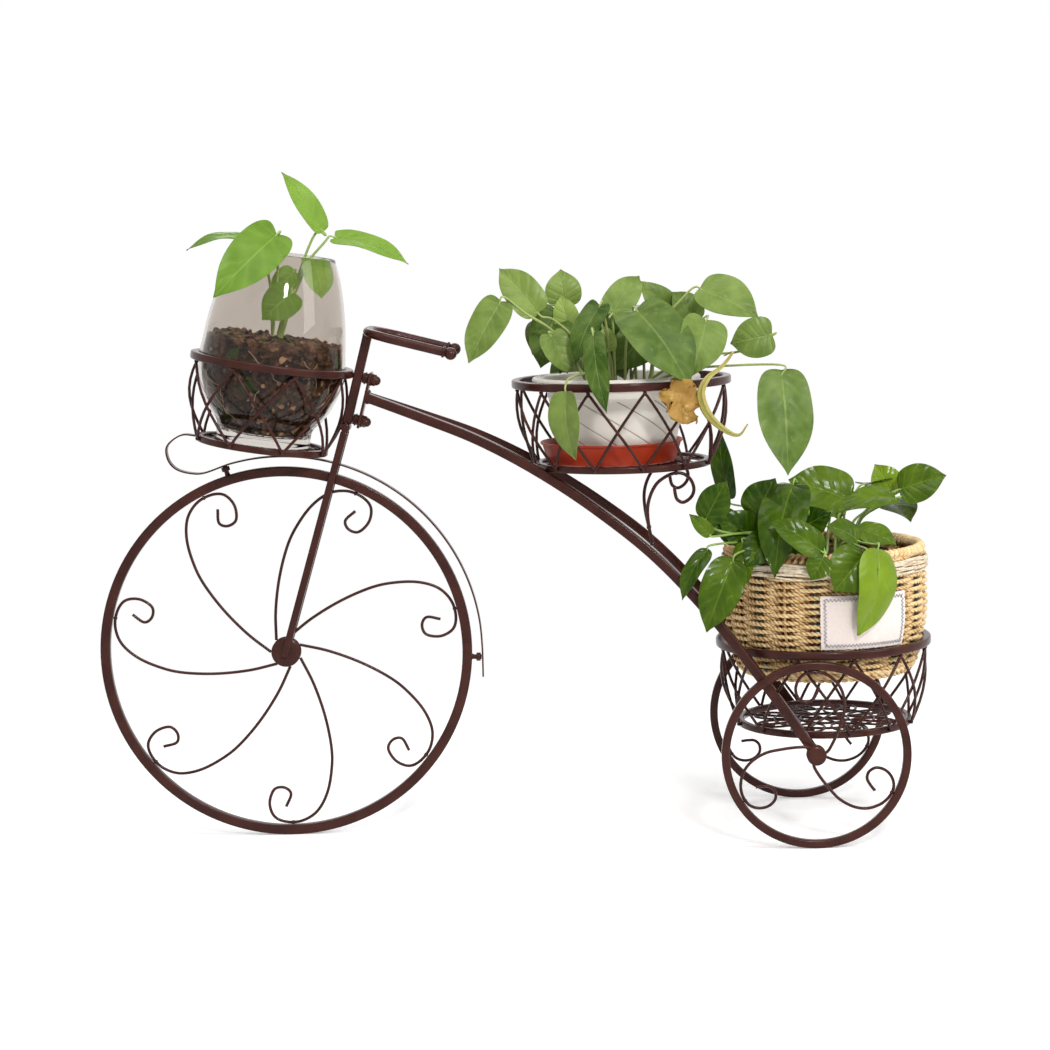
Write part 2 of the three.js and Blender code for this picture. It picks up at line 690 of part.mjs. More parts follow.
const stripPath = smooth([bottomRingLeft, ...curlPoints, ...arcPoints, tailEnd]);
add('mudguard', sweep(flatSection(mudguardWidth, mudguardThickness), stripPath, 46), paint);
for (const [name, angle] of [['front', frontStayAngle], ['rear', rearStayAngle]]) {
  const rimTop = frontWheelRadius / Math.cos(Math.PI / frontRimSides) + fitGap;
  const stripUnder = stripInside - fitGap * 2;
  const stripEnd = aroundHub(stripUnder, angle);
  const stub = cylinderBetween(aroundHub(rimTop, angle), stripEnd, stayRadius, 8);
  const nut = cylinderBetween(aroundHub(stripUnder - stayNutHeight, angle), stripEnd, stayNutRadius, 6);
  add(`mudguard_stay_${name}`, fuse([stub, nut]), paint);
}

// Leaves. The table gives the blade's stations from its base to its tip, as shares of its length
// for the midrib and the edges, and of its width for the half width. Its upper and lower faces
// are split along the same diagonals, so that the thin blade never passes through itself.
const leafShares = [[0.08, -0.05, 0.34], [0.3, 0.22, 0.5], [0.66, 0.62, 0.34]];
const foldShare = 0.22;
const bowShare = 0.08;

// Gives the point of a leaf at a share of its length, a distance to its side and one above its face.
function leafPoints(base, tip, facing) {
  const lengthwise = tip.clone().sub(base);
  const length = lengthwise.length();
  lengthwise.normalize();
  const normal = facing.clone().addScaledVector(lengthwise, -facing.dot(lengthwise)).normalize();
  const sideways = lengthwise.clone().cross(normal);
  return (run, side, lift) => base.clone()
    .addScaledVector(lengthwise, run * length)
    .addScaledVector(sideways, side)
    .addScaledVector(normal, lift + bowShare * length * Math.sin(Math.PI * Math.max(run, 0)));
}

function leafBlade(at, width) {
  const corners = [at(0, 0, 0)];
  for (const [rib, edge, half] of leafShares) {
    const rise = foldShare * half * width;
    corners.push(at(rib, 0, leafThickness / 2), at(edge, half * width, rise));
    corners.push(at(rib, 0, -leafThickness / 2), at(edge, -half * width, rise));
  }
  corners.push(at(1, 0, 0));
  const faces = [];
  const last = corners.length - 1;
  for (let side = 0; side < 4; side += 1) {
    const next = (side + 1) % 4;
    faces.push(0, 1 + next, 1 + side);
    for (let station = 0; station < leafShares.length - 1; station += 1) {
      const here = 1 + 4 * station;
      const there = here + 4;
      if (side % 2 === 0) {
        faces.push(here + side, here + next, there + side);
        faces.push(here + next, there + next, there + side);
      } else {
        faces.push(here + side, here + next, there + next);
        faces.push(here + side, there + next, there + side);
      }
    }
    faces.push(last - 4 + side, last - 4 + next, last);
  }
  const geometry = new THREE.BufferGeometry();
  geometry.setAttribute('position', new THREE.Float32BufferAttribute(corners.flatMap((p) => p.toArray()), 3));
  geometry.setIndex(faces);
  return geometry;
}

// A plant: stalks from a small crown in the soil, and over the ledge where a leaf hangs outside it.
// A row holds the leaf's base, tip, width and facing, the first three as shares of the plant's reach.
const crownShares = [[0, 0], [1, 0], [0.8, 0.4], [0, 0.6]];
const [heartOutShare, heartRiseShare] = [0.7, 0.2];
const [hangOutShare, hangLowShare] = [0.85, 0.35];
const [innerOutShare, innerRiseShare] = [0.35, 0.6];
const [outerOutShare, outerDropShare] = [0.8, 0.1];

function plant(rowShares, reach, ledge, soilDepth) {
  const root = along(0, 0, fitGap - soilDepth);
  const crown = turn(crownShares.map(([radius, rise]) => [crownSize * radius, crownSize * rise]), 10);
  const solids = [crown.translate(0, 0, root.z)];
  for (const [bx, by, bz, tx, ty, tz, width, fx, fy, fz] of rowShares) {
    const base = along(bx, by, bz).multiplyScalar(reach);
    const tip = along(tx, ty, tz).multiplyScalar(reach);
    const flat = Math.hypot(base.x, base.y);
    const out = along(base.x, base.y, 0).normalize();
    const hangs = flat > ledge * hangOutShare && base.z < ledge * hangLowShare;
    const high = root.z + (base.z - root.z) * innerRiseShare;
    const heart = out.clone().multiplyScalar(crownSize * heartOutShare);
    heart.z = root.z + crownSize * heartRiseShare;
    const inner = out.clone().multiplyScalar(flat * innerOutShare);
    inner.z = hangs ? Math.max(high, ledgeClear) : high;
    const path = [heart, inner];
    if (hangs) {
      const over = Math.min(ledge, flat - stalkRadius);
      path.push(out.clone().multiplyScalar(over).setZ(Math.max(base.z, 0) + ledgeClear));
    } else {
      path.push(out.clone().multiplyScalar(flat * outerOutShare).setZ(base.z - flat * outerDropShare));
    }
    const at = leafPoints(base, tip, along(fx, fy, fz));
    path.push(at(0, 0, 0), at(leafShares[1][0], 0, 0));
    solids.push(rod(path, stalkRadius, 3, 4), leafBlade(at, width * reach));
  }
  return fillPockets(fuse(solids));
}

// Glass vase, standing on the front basket's grille. Heights are shares of the vase's height.
const grilleTop = -frontBasketHeight + grilleRadius + fitGap;
// The table gives its outline, with radii as shares of the way from the foot's to the belly's.
const vaseShares = [[0, 0], [0.1, 0.06], [0.21, 0.6], [0.34, 0.97], [0.48, 0.99], [0.62, 0.93], [0.8, 0.58],
  [1, 0.16]];
const glassFloorShare = 0.1;
const vase = new THREE.Group();
vase.position.z = grilleTop;
frontBasket.add(vase);

function vaseRadius(height) {
  const share = height / vaseHeight;
  const next = Math.max(1, vaseShares.findIndex(([rise]) => rise >= share - Number.EPSILON));
  const [[lowRise, lowOut], [highRise, highOut]] = [vaseShares[next - 1], vaseShares[next]];
  const out = lowOut + (highOut - lowOut) * (share - lowRise) / (highRise - lowRise);
  return vaseFoot + (vaseBelly - vaseFoot) * out;
}

const vaseStations = vaseShares.map(([rise]) => rise * vaseHeight);
const glassFloor = vaseHeight * glassFloorShare;
const insideStations = vaseStations.filter((height) => height > glassFloor);
const vaseOutside = vaseStations.map((height) => [vaseRadius(height), height]);
const vaseInside = insideStations.map((height) => [vaseRadius(height) - vaseWall, height]);
add('glass_vase', turn([[0, 0], ...vaseOutside, ...vaseInside.reverse(),
  [vaseFoot - vaseWall, glassFloor], [0, glassFloor]], potSides), glass, vase);
const soilTop = glassFloor + vaseSoilDepth;
const soilStations = [...insideStations.filter((height) => height < soilTop), soilTop];
const soilOutside = soilStations.map((height) => [vaseRadius(height) - vaseWall - fitGap, height]);
add('vase_soil', turn([[0, glassFloor + fitGap], [vaseFoot - vaseWall - fitGap * 2, glassFloor + fitGap],
  ...soilOutside, [0, soilTop]], potSides), soil, vase);

const vaseLeafShares = [
  [0.27, 0.04, 0.19, -0.11, 0, 0.61, 0.2, 0.4, -1, 0.5],
  [0.38, 0, 0.15, 0.99, -0.07, 0.02, 0.22, 0, -0.7, 1],
  [-0.04, -0.24, 0.13, -0.45, -0.63, -0.42, 0.39, -0.3, -1, 0.4],
  [-0.33, 0.18, 0.06, -0.81, 0.14, -0.11, 0.15, -0.4, -0.5, 1],
  [0.25, -0.04, 0.01, 0.35, -0.11, -0.34, 0.2, 0.7, -1, 0.2],
  [0.12, -0.04, -0.3, -0.11, -0.14, -0.55, 0.24, -0.1, -1, 0.3],
  [0.06, 0.07, -0.15, -0.09, 0.04, -0.33, 0.14, 0, -1, 0.3],
];
const vasePlant = plant(vaseLeafShares, vasePlantReach, Infinity, vaseHeight - soilTop);
add('vase_plant', vasePlant.translate(0, 0, vaseHeight), paleLeaf, vase);

// Ceramic pot with a thick rim, standing in a saucer on the middle basket's grille.
const saucerRadius = rackBottomRadius - saucerClearance;
const saucerBaseRadius = saucerRadius - saucerFlare;
const saucer = new THREE.Group();
saucer.position.set(saucerOffset, 0, grilleRadius + fitGap - rackHeight);
middleBasket.add(saucer);
const saucerSlope = (saucerRadius - saucerBaseRadius) / saucerHeight;
const saucerInside = saucerBaseRadius + saucerSlope * saucerWall - saucerWall;
add('saucer', turn([[0, 0], [saucerBaseRadius, 0], [saucerRadius, saucerHeight],
  [saucerRadius - saucerWall, saucerHeight], [saucerInside, saucerWall], [0, saucerWall]], potSides),
terracotta, saucer);

const potRimRadius = rackTopRadius - ringTube - potRimClearance;
const potBaseRadius = saucerBaseRadius - potFootClearance;
const pot = new THREE.Group();
pot.position.set(potShift, 0, saucerWall + fitGap);
saucer.add(pot);
const rimBottom = potHeight - potRimHeight;
const bodyTop = potRimRadius - potRimOverhang;
const potInsideTop = potRimRadius - potRimInset;
const potInsideSlope = (bodyTop - potBaseRadius) / (rimBottom - potWall);
const potInsideAt = (height) => potBaseRadius - potWall + potInsideSlope * (height - potWall);
const potOutside = [[0, 0], [potBaseRadius, 0], [bodyTop, rimBottom], [potRimRadius, rimBottom],
  [potRimRadius, potHeight]];
const potInside = [[potInsideTop, potHeight], [potInsideAt(rimBottom), rimBottom],
  [potInsideAt(potWall), potWall], [0, potWall]];
add('ceramic_pot', turn([...potOutside, ...potInside], potSides), glaze, pot);

// Soil between two radii of a pot's inside.
function soilPlug(lowRadius, lowHeight, highRadius, highHeight) {
  return turn([[0, lowHeight], [lowRadius, lowHeight], [highRadius, highHeight], [0, highHeight]], potSides);
}

const potSoilTop = potHeight - soilBelowRim;
const potSoilBottom = potHeight * potSoilShare;
const potSoilRadius = (height) => potInsideAt(height) - fitGap * 2;
const [potSoilLow, potSoilHigh] = [potSoilRadius(potSoilBottom), potSoilRadius(potSoilTop)];
add('pot_soil', soilPlug(potSoilLow, potSoilBottom, potSoilHigh, potSoilTop), soil, pot);
const middleLeafShares = [
  [-0.7, -0.11, 0.48, -0.91, -0.19, 0.11, 0.27, -0.3, -1, 0.3],
  [-0.47, -0.06, 0.4, -0.71, 0.06, 0.68, 0.23, -0.1, -1, 0.5],
  [-0.34, 0.22, 0.46, -0.31, 0.25, 0.65, 0.19, 0.1, -1, -0.2],
  [-0.27, 0.08, 0.28, -0.33, 0.11, 0.5, 0.16, -0.2, -1, -0.1],
  [-0.43, 0.03, 0.34, -0.47, 0, 0.06, 0.24, -0.5, -1, 0.2],
  [-0.42, -0.17, 0.26, -0.31, -0.22, 0.04, 0.16, 0.4, -1, 0.2],
  [-0.06, -0.22, 0.41, -0.23, -0.33, 0.11, 0.17, -0.6, -1, 0.2],
  [-0.02, -0.11, 0.38, 0.16, 0.06, 0.61, 0.21, 0, -1, 0.6],
  [0.38, 0.25, 0.26, 0.15, 0.17, 0.58, 0.22, 0.4, -1, 0.4],
  [0.13, -0.33, 0.41, 0.43, -0.73, -0.04, 0.34, 0.3, -1, 0.5],
  [0.44, 0.22, 0.25, 0.36, 0.28, 0.47, 0.15, 0.4, -1, 0.1],
  [0.55, -0.36, 0.34, 0.44, -0.58, 0.01, 0.29, 0.2, -1, 0.3],
  [0.53, -0.06, 0.47, 0.88, -0.17, 0.32, 0.21, 0, -0.7, 1],
  [0.9, -0.33, 0.24, 0.7, -0.28, 0.2, 0.22, 0.2, -1, 0.2],
  [0.95, -0.58, 0.04, 0.98, -0.72, -0.58, 0.35, 0.3, -1, 0.1],
  [-0.14, -0.62, 0.29, -0.07, -0.76, -0.18, 0.15, -0.3, -1, 0.1],
  [-0.3, -0.73, -0.05, -0.24, -0.74, -0.46, 0.19, -0.1, -1, 0.1],
  [0.25, -0.73, -0.03, 0.42, -0.74, -0.26, 0.24, 0, -1, 0.1],
  [-0.33, 0.28, 0.33, -0.53, 0.6, 0.11, 0.28, -0.3, 0.8, 0.5],
  [0, 0.33, 0.33, 0.06, 0.74, 0.08, 0.3, 0, 0.8, 0.6],
  [0.33, 0.33, 0.28, 0.61, 0.58, 0.06, 0.28, 0.3, 0.8, 0.6],
  [0.17, 0.22, 0.4, 0.33, 0.47, 0.38, 0.24, 0.1, 0.6, 1],
  [-0.26, 0.6, 0.1, -0.3, 0.76, -0.28, 0.26, -0.3, 1, 0.1],
];
const middlePlant = plant(middleLeafShares, rackTopRadius + middlePlantSpread, rackTopRadius, soilBelowRim);
add('pot_plant', middlePlant.translate(0, 0, potHeight), midLeaf, pot);

// Straw basket, wedged in the rear basket's top ring by its belly.
const strawBasket = new THREE.Group();
strawBasket.position.set(strawOffset, 0, strawRise - rackHeight);
rearBasket.add(strawBasket);
const ringBottomHeight = rackHeight - strawRise - ringTube / 2;
const ringTopHeight = ringBottomHeight + ringTube;
const waist = flatInside(rearTopRadius - ringTube) - fitGap - strawOffset;
const strawBelly = waist + strawBulge;
const strawRim = strawBelly - strawRimInset;
const strawBase = waist - strawTaper;
const insideAt = (radius) => radius - strawWall;
const strawFloor = strawWall;
const bellyHeight = strawHeight * strawBellyShare;
const strawLow = ringBottomHeight * strawLowShare;
const strawLowRadius = strawBase + (waist - strawBase) * strawLowOutShare;
const strawOutside = [[0, 0], [strawBase, 0], [strawLowRadius, strawLow], [waist, ringBottomHeight],
  [waist, ringTopHeight], [strawBelly, bellyHeight], [strawRim, strawHeight]];
const strawInside = [[insideAt(strawRim), strawHeight], [insideAt(strawBelly), bellyHeight],
  [insideAt(waist), ringTopHeight], [insideAt(strawLowRadius), strawLow], [insideAt(strawBase), strawFloor]];
const strawOutline = [...strawOutside, ...strawInside, [0, strawFloor]];
add('straw_basket', turn(strawOutline, potSides), straw, strawBasket);
const strawSoilTop = strawHeight - soilBelowRim;
const [soilLow, soilHigh] = [insideAt(waist) - fitGap * 2, insideAt(strawRim) - fitGap * 2];
add('basket_soil', soilPlug(soilLow, ringTopHeight + fitGap, soilHigh, strawSoilTop), soil, strawBasket);

// Cloth label, sewn round the front of the basket's belly.
const labelRadius = strawBelly + fitGap;
const labelSweep = labelWidth / labelRadius;
const labelMiddle = radians(labelTurn - 90);
const labelShape = new THREE.Shape();
const [labelStart, labelEnd] = [labelMiddle - labelSweep / 2, labelMiddle + labelSweep / 2];
labelShape.absarc(0, 0, labelRadius + labelThickness, labelStart, labelEnd, false);
labelShape.absarc(0, 0, labelRadius, labelEnd, labelStart, true);
const labelSweepOptions = { depth: labelHeight, bevelEnabled: false, curveSegments: 8 };
const label = new THREE.ExtrudeGeometry(labelShape, labelSweepOptions);
add('label', label.translate(0, 0, ringTopHeight + fitGap * 4), cloth, strawBasket);

const rearLeafShares = [
  [-0.67, -0.66, -0.02, -0.87, -0.72, -0.51, 0.3, -0.2, -1, 0.2],
  [-0.84, -0.64, 0.05, -1.03, -0.68, -0.29, 0.16, -0.6, -1, 0.1],
  [-0.86, -0.66, 0.25, -0.71, -0.69, 0.52, 0.2, -0.3, -1, 0.2],
  [-0.82, -0.65, 0.15, -0.97, -0.68, 0.3, 0.09, -0.2, -1, 0.3],
  [-0.6, 0.7, 0.23, -0.66, 0.71, 0.76, 0.15, -0.5, -1, 0],
  [-0.49, -0.38, 0.23, -0.36, -0.4, 0.5, 0.25, -0.2, -1, 0.3],
  [-0.23, -0.4, 0.45, -0.4, -0.79, -0.15, 0.29, -0.3, -1, 0.3],
  [0.21, 0.19, 0.27, -0.22, 0.25, 0.42, 0.32, 0.1, -1, 0.5],
  [-0.08, -0.76, 0.03, -0.42, -0.72, 0.24, 0.18, 0.2, -1, 0.4],
  [0.5, -0.12, 0.31, 0.06, -0.31, 0.23, 0.18, 0, -0.8, 1],
  [0.53, -0.06, 0.32, 0.85, -0.12, 0.42, 0.22, 0.2, -1, 0.5],
  [0.52, 0.16, 0.36, 0.37, 0.19, 0.48, 0.13, 0, -1, 0.4],
  [0.19, -0.49, 0.06, -0.03, -0.52, 0.17, 0.2, 0.2, -0.8, 1],
  [0.2, -0.38, 0.13, 0.46, -0.45, 0.02, 0.19, 0.2, -0.8, 1],
  [-0.07, -0.78, 0, -0.16, -0.8, -0.16, 0.15, -0.1, -1, 0.2],
  [0.21, -0.75, 0.01, -0.01, -0.81, -0.24, 0.26, 0.1, -1, 0.3],
  [0.3, -0.74, 0.03, 0.15, -0.86, -0.54, 0.26, 0.4, -1, 0.2],
  [-0.57, -0.25, 0.07, -0.76, -0.38, 0.3, 0.21, -0.3, -1, 0.3],
  [-0.25, 0.31, 0.25, -0.44, 0.69, 0.06, 0.3, -0.3, 0.7, 0.7],
  [0.12, 0.38, 0.28, 0.19, 0.78, 0.05, 0.3, 0, 0.7, 0.7],
  [0.44, 0.31, 0.25, 0.69, 0.59, 0.05, 0.28, 0.3, 0.6, 0.8],
  [0.31, 0.12, 0.38, 0.59, 0.38, 0.31, 0.25, 0.2, 0.4, 1],
];
const rearPlant = plant(rearLeafShares, strawRim + rearPlantSpread, strawRim, soilBelowRim);
add('basket_plant', rearPlant.translate(0, 0, strawHeight), darkLeaf, strawBasket);

export default stand;
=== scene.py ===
# %% [markdown]
# A plant stand in the shape of an old bicycle carries a glass vase, a ceramic pot in a saucer and
# a straw basket, each with a young pothos plant. The stand is welded from square tube and thin
# round rod and then powder coated. This notebook makes its visible surface around the exact solid
# model, which fixes every size and place, so each piece starts from the box of a solid.

# %% Load the solid model
import math
import random

import bpy
import bmesh
from mathutils import Matrix, Vector, noise


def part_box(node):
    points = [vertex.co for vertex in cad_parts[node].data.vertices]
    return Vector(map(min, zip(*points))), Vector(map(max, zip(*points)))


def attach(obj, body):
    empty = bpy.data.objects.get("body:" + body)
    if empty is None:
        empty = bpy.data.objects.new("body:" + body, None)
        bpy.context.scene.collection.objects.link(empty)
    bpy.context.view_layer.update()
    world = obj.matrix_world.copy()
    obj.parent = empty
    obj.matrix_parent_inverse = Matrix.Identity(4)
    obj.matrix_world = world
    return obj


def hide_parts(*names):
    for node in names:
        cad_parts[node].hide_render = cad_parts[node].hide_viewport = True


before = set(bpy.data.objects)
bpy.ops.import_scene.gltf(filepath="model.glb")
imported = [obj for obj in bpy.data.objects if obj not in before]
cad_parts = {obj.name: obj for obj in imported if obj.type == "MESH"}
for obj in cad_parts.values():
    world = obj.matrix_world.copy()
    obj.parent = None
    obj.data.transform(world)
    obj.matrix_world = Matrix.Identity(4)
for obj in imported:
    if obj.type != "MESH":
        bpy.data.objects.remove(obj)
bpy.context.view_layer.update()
mm = 0.001
full_turn = 2 * math.pi


def middle(node):
    low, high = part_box(node)
    return (low + high) / 2


def extent(node):
    low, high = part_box(node)
    return high - low


def stands_at(node):
    """Gives the place of the middle of a solid's foot."""
    low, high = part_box(node)
    return Matrix.Translation(((low.x + high.x) / 2, (low.y + high.y) / 2, low.z))


# %% [markdown]
# The camera comes first, because it decides what is seen. It stands about three metres in front
# of the stand, a little above the handlebar, with a long lens, so the wheels stay nearly round.

# %% Camera
camera_place = Vector((0.3447, -2.9519, 0.7034))
camera_pitch = 83.175
camera_yaw = 1.33
camera_roll = -1.678
camera_lens = 90.13

camera_data = bpy.data.cameras.new("camera")
camera_data.lens = camera_lens
camera_data.sensor_width = 36
camera = bpy.data.objects.new("camera", camera_data)
bpy.context.scene.collection.objects.link(camera)
camera_turn = (
    Matrix.Rotation(math.radians(camera_yaw), 4, "Z")
    @ Matrix.Rotation(math.radians(camera_pitch), 4, "X")
    @ Matrix.Rotation(math.radians(camera_roll), 4, "Z")
)
camera.matrix_world = Matrix.Translation(camera_place) @ camera_turn
bpy.context.scene.camera = camera
print("camera at", [round(value, 2) for value in camera.location])

# %% [markdown]
# A studio shot has soft light from large panels and a floor that runs off into white. The panels
# give long, soft reflections on the paint and one tall bright one on the vase. The world is white
# only where the camera, a mirror or the glass looks at it, so it doesn't flood the object. The
# floor keeps its shadow near the stand and shines white further off.

# %% Light and floor
scene = bpy.context.scene
scene.view_settings.view_transform = "Standard"


def white_to_the_eye(tree, lit_strength, seen_strength=1):
    """Gives one strength for rays that the eye sees, also mirrored or refracted, and one for the rest."""
    path = tree.nodes.new("ShaderNodeLightPath")
    seen = path.outputs["Is Camera Ray"]
    for name in ("Is Transmission Ray", "Is Glossy Ray"):
        either = tree.nodes.new("ShaderNodeMath")
        either.operation = "MAXIMUM"
        tree.links.new(seen, either.inputs[0])
        tree.links.new(path.outputs[name], either.inputs[1])
        seen = either.outputs[0]
    strength = tree.nodes.new("ShaderNodeMapRange")
    strength.inputs["To Min"].default_value = lit_strength
    strength.inputs["To Max"].default_value = seen_strength
    tree.links.new(seen, strength.inputs["Value"])
    return strength.outputs[0]


world = bpy.data.worlds.new("studio")
world.use_nodes = True
background = world.node_tree.nodes["Background"]
background.inputs["Color"].default_value = (1, 1, 1, 1)
world.node_tree.links.new(white_to_the_eye(world.node_tree, 0.4), background.inputs["Strength"])
scene.world = world


def soft_panel(name, place, width, height, power):
    """Adds a rectangular lamp that faces the middle of the stand."""
    data = bpy.data.lights.new(name, "AREA")
    data.shape = "RECTANGLE"
    data.size = width
    data.size_y = height
    data.energy = power
    lamp = bpy.data.objects.new(name, data)
    scene.collection.objects.link(lamp)
    lamp.location = place
    lamp.rotation_mode = "QUATERNION"
    lamp.rotation_quaternion = (stand_middle - Vector(place)).to_track_quat("-Z", "Y")


stand_middle = Vector((0.3, 0, 0.4))
soft_panel("top_panel", (0.25, -0.7, 2.5), width=1.7, height=1.1, power=22)
soft_panel("key_panel", (1.0, -2.7, 1.9), width=0.36, height=0.36, power=50)
soft_panel("right_panel", (2.6, -1.3, 1.5), width=1.1, height=1.5, power=32)
soft_panel("back_panel", (0.2, 2.2, 2.0), width=1.8, height=1.0, power=20)

floor_half = 14
shadow_reach = 0.55
white_reach = 1.3
bpy.ops.mesh.primitive_plane_add(size=2 * floor_half, location=(0, 0, 0))
floor = bpy.context.object
floor.name = "floor"
floor_finish = bpy.data.materials.new("white_floor")
floor_finish.use_nodes = True
floor_tree = floor_finish.node_tree
floor_shader = floor_tree.nodes["Principled BSDF"]
floor_shader.inputs["Base Color"].default_value = (0.9, 0.9, 0.9, 1)
floor_shader.inputs["Roughness"].default_value = 0.9
floor_shader.inputs["Specular IOR Level"].default_value = 0.1
floor_shader.inputs["Emission Color"].default_value = (1, 1, 1, 1)
floor_tree.links.new(white_to_the_eye(floor_tree, 0, 0.3), floor_shader.inputs["Emission Strength"])
floor_place = floor_tree.nodes.new("ShaderNodeTexCoord")
from_stand = floor_tree.nodes.new("ShaderNodeVectorMath")
from_stand.operation = "DISTANCE"
from_stand.inputs[1].default_value = (stand_middle.x, 0, 0)
floor_tree.links.new(floor_place.outputs["Object"], from_stand.inputs[0])
far_off = floor_tree.nodes.new("ShaderNodeMapRange")
far_off.inputs["From Min"].default_value = shadow_reach
far_off.inputs["From Max"].default_value = white_reach
floor_tree.links.new(from_stand.outputs["Value"], far_off.inputs["Value"])
far_and_seen = floor_tree.nodes.new("ShaderNodeMath")
far_and_seen.operation = "MULTIPLY"
floor_tree.links.new(far_off.outputs[0], far_and_seen.inputs[0])
floor_tree.links.new(white_to_the_eye(floor_tree, 0, 1), far_and_seen.inputs[1])
pure_white = floor_tree.nodes.new("ShaderNodeEmission")
floor_mix = floor_tree.nodes.new("ShaderNodeMixShader")
floor_tree.links.new(far_and_seen.outputs[0], floor_mix.inputs[0])
floor_tree.links.new(floor_shader.outputs[0], floor_mix.inputs[1])
floor_tree.links.new(pure_white.outputs[0], floor_mix.inputs[2])
floor_tree.links.new(floor_mix.outputs[0], floor_tree.nodes["Material Output"].inputs["Surface"])
floor.data.materials.append(floor_finish)
print("floor", 2 * floor_half, "m wide")

# %% [markdown]
# The tools of the workshop come next. A rod is a curve with a round section, a turned piece is an
# outline spun about an axis, and a bar is a box between two points with its edges rounded off.
# Everything is then turned into a plain mesh whose place is in its points, as the solids have it.

# %% Bench tools
def deselect():
    bpy.ops.object.select_all(action="DESELECT")


def pick(*pieces):
    deselect()
    for piece in pieces:
        piece.select_set(True)
    bpy.context.view_layer.objects.active = pieces[0]


def settle(piece, place=None):
    """Puts a piece's place into its mesh."""
    if place is not None:
        piece.matrix_world = place
    pick(piece)
    bpy.ops.object.transform_apply(location=True, rotation=True, scale=True)


def soften(piece, angle=35):
    pick(piece)
    bpy.ops.object.shade_smooth_by_angle(angle=math.radians(angle))


def join(name, pieces):
    """Joins meshes into one piece."""
    pick(*pieces)
    if len(pieces) > 1:
        bpy.ops.object.join()
    bpy.context.object.name = name
    return bpy.context.object


def apply_modifiers(piece):
    pick(piece)
    for modifier in list(piece.modifiers):
        bpy.ops.object.modifier_apply(modifier=modifier.name)


def bend(points, closed=False, steps=6):
    """Gives the points of a smooth line through the given ones, like a rod bent round pegs."""
    knots = [Vector(point) for point in points]
    count = len(knots)
    line = []
    for i in range(count if closed else count - 1):
        before = knots[i - 1] if closed or i else knots[0] * 2 - knots[1]
        here = knots[i]
        there = knots[(i + 1) % count]
        after = knots[(i + 2) % count] if closed or i + 2 < count else knots[-1] * 2 - knots[-2]
        for step in range(steps):
            share = step / steps
            line.append(
                (
                    here * 2
                    + (there - before) * share
                    + (before * 2 - here * 5 + there * 4 - after) * share**2
                    + (here * 3 - before - there * 3 + after) * share**3
                )
                / 2
            )
    if not closed:
        line.append(knots[-1])
    return line


def length_of(line):
    return sum((there - here).length for here, there in zip(line, line[1:]))


def ring_point(radius, angle, height):
    """Gives a point on a level circle about the vertical axis."""
    return Vector((radius * math.cos(angle), radius * math.sin(angle), height))


def circle_line(radius, height, steps):
    """Gives evenly spaced points all round a level circle."""
    return [ring_point(radius, step / steps * full_turn, height) for step in range(steps)]


def wire(
    name, points, thickness, closed=False, section=None, twist="MINIMUM", turns=0, radii=None, bevel_steps=2
):
    """Makes a rod along a line of points, round unless it is given a section, twisted by whole turns."""
    bpy.ops.curve.primitive_bezier_curve_add(enter_editmode=False, location=(0, 0, 0))
    rod = bpy.context.object
    rod.name = name
    curve = rod.data
    curve.splines.clear()
    spline = curve.splines.new("POLY")
    spline.points.add(len(points) - 1)
    for i, (knot, point) in enumerate(zip(spline.points, points)):
        knot.co = (*point, 1)
        knot.tilt = i / len(points) * turns * full_turn
        knot.radius = radii[i] if radii else 1
    spline.use_cyclic_u = closed
    curve.dimensions = "3D"
    curve.twist_mode = twist
    curve.use_fill_caps = True
    if section is None:
        curve.bevel_depth = thickness / 2
        curve.bevel_resolution = bevel_steps
    else:
        curve.bevel_mode = "OBJECT"
        curve.bevel_object = section
    pick(rod)
    bpy.ops.object.convert(target="MESH")
    soften(rod, 50)
    return rod


def rounded_square(width, height, corner, steps=3):
    """Gives the outline of a tube's section, round its corners, about its own middle."""
    outline = []
    for turn in range(4):
        sign_x = (1, -1, -1, 1)[turn]
        sign_y = (1, 1, -1, -1)[turn]
        for step in range(steps + 1):
            angle = (turn + step / steps) * math.pi / 2
            x = sign_x * (width / 2 - corner) + corner * math.cos(angle)
            y = sign_y * (height / 2 - corner) + corner * math.sin(angle)
            outline.append((x, y))
    return outline


def in_mm(outline):
    return [(across * mm, along * mm) for across, along in outline]


def section_curve(name, outline):
    """Makes a flat closed curve that other curves use as their section."""
    bpy.ops.curve.primitive_bezier_circle_add(location=(0, 0, 0))
    section = bpy.context.object
    section.name = name
    section.data.splines.clear()
    section.data.dimensions = "2D"
    spline = section.data.splines.new("POLY")
    spline.points.add(len(outline) - 1)
    for knot, (x, y) in zip(spline.points, outline):
        knot.co = (x, y, 0, 1)
    spline.use_cyclic_u = True
    return section


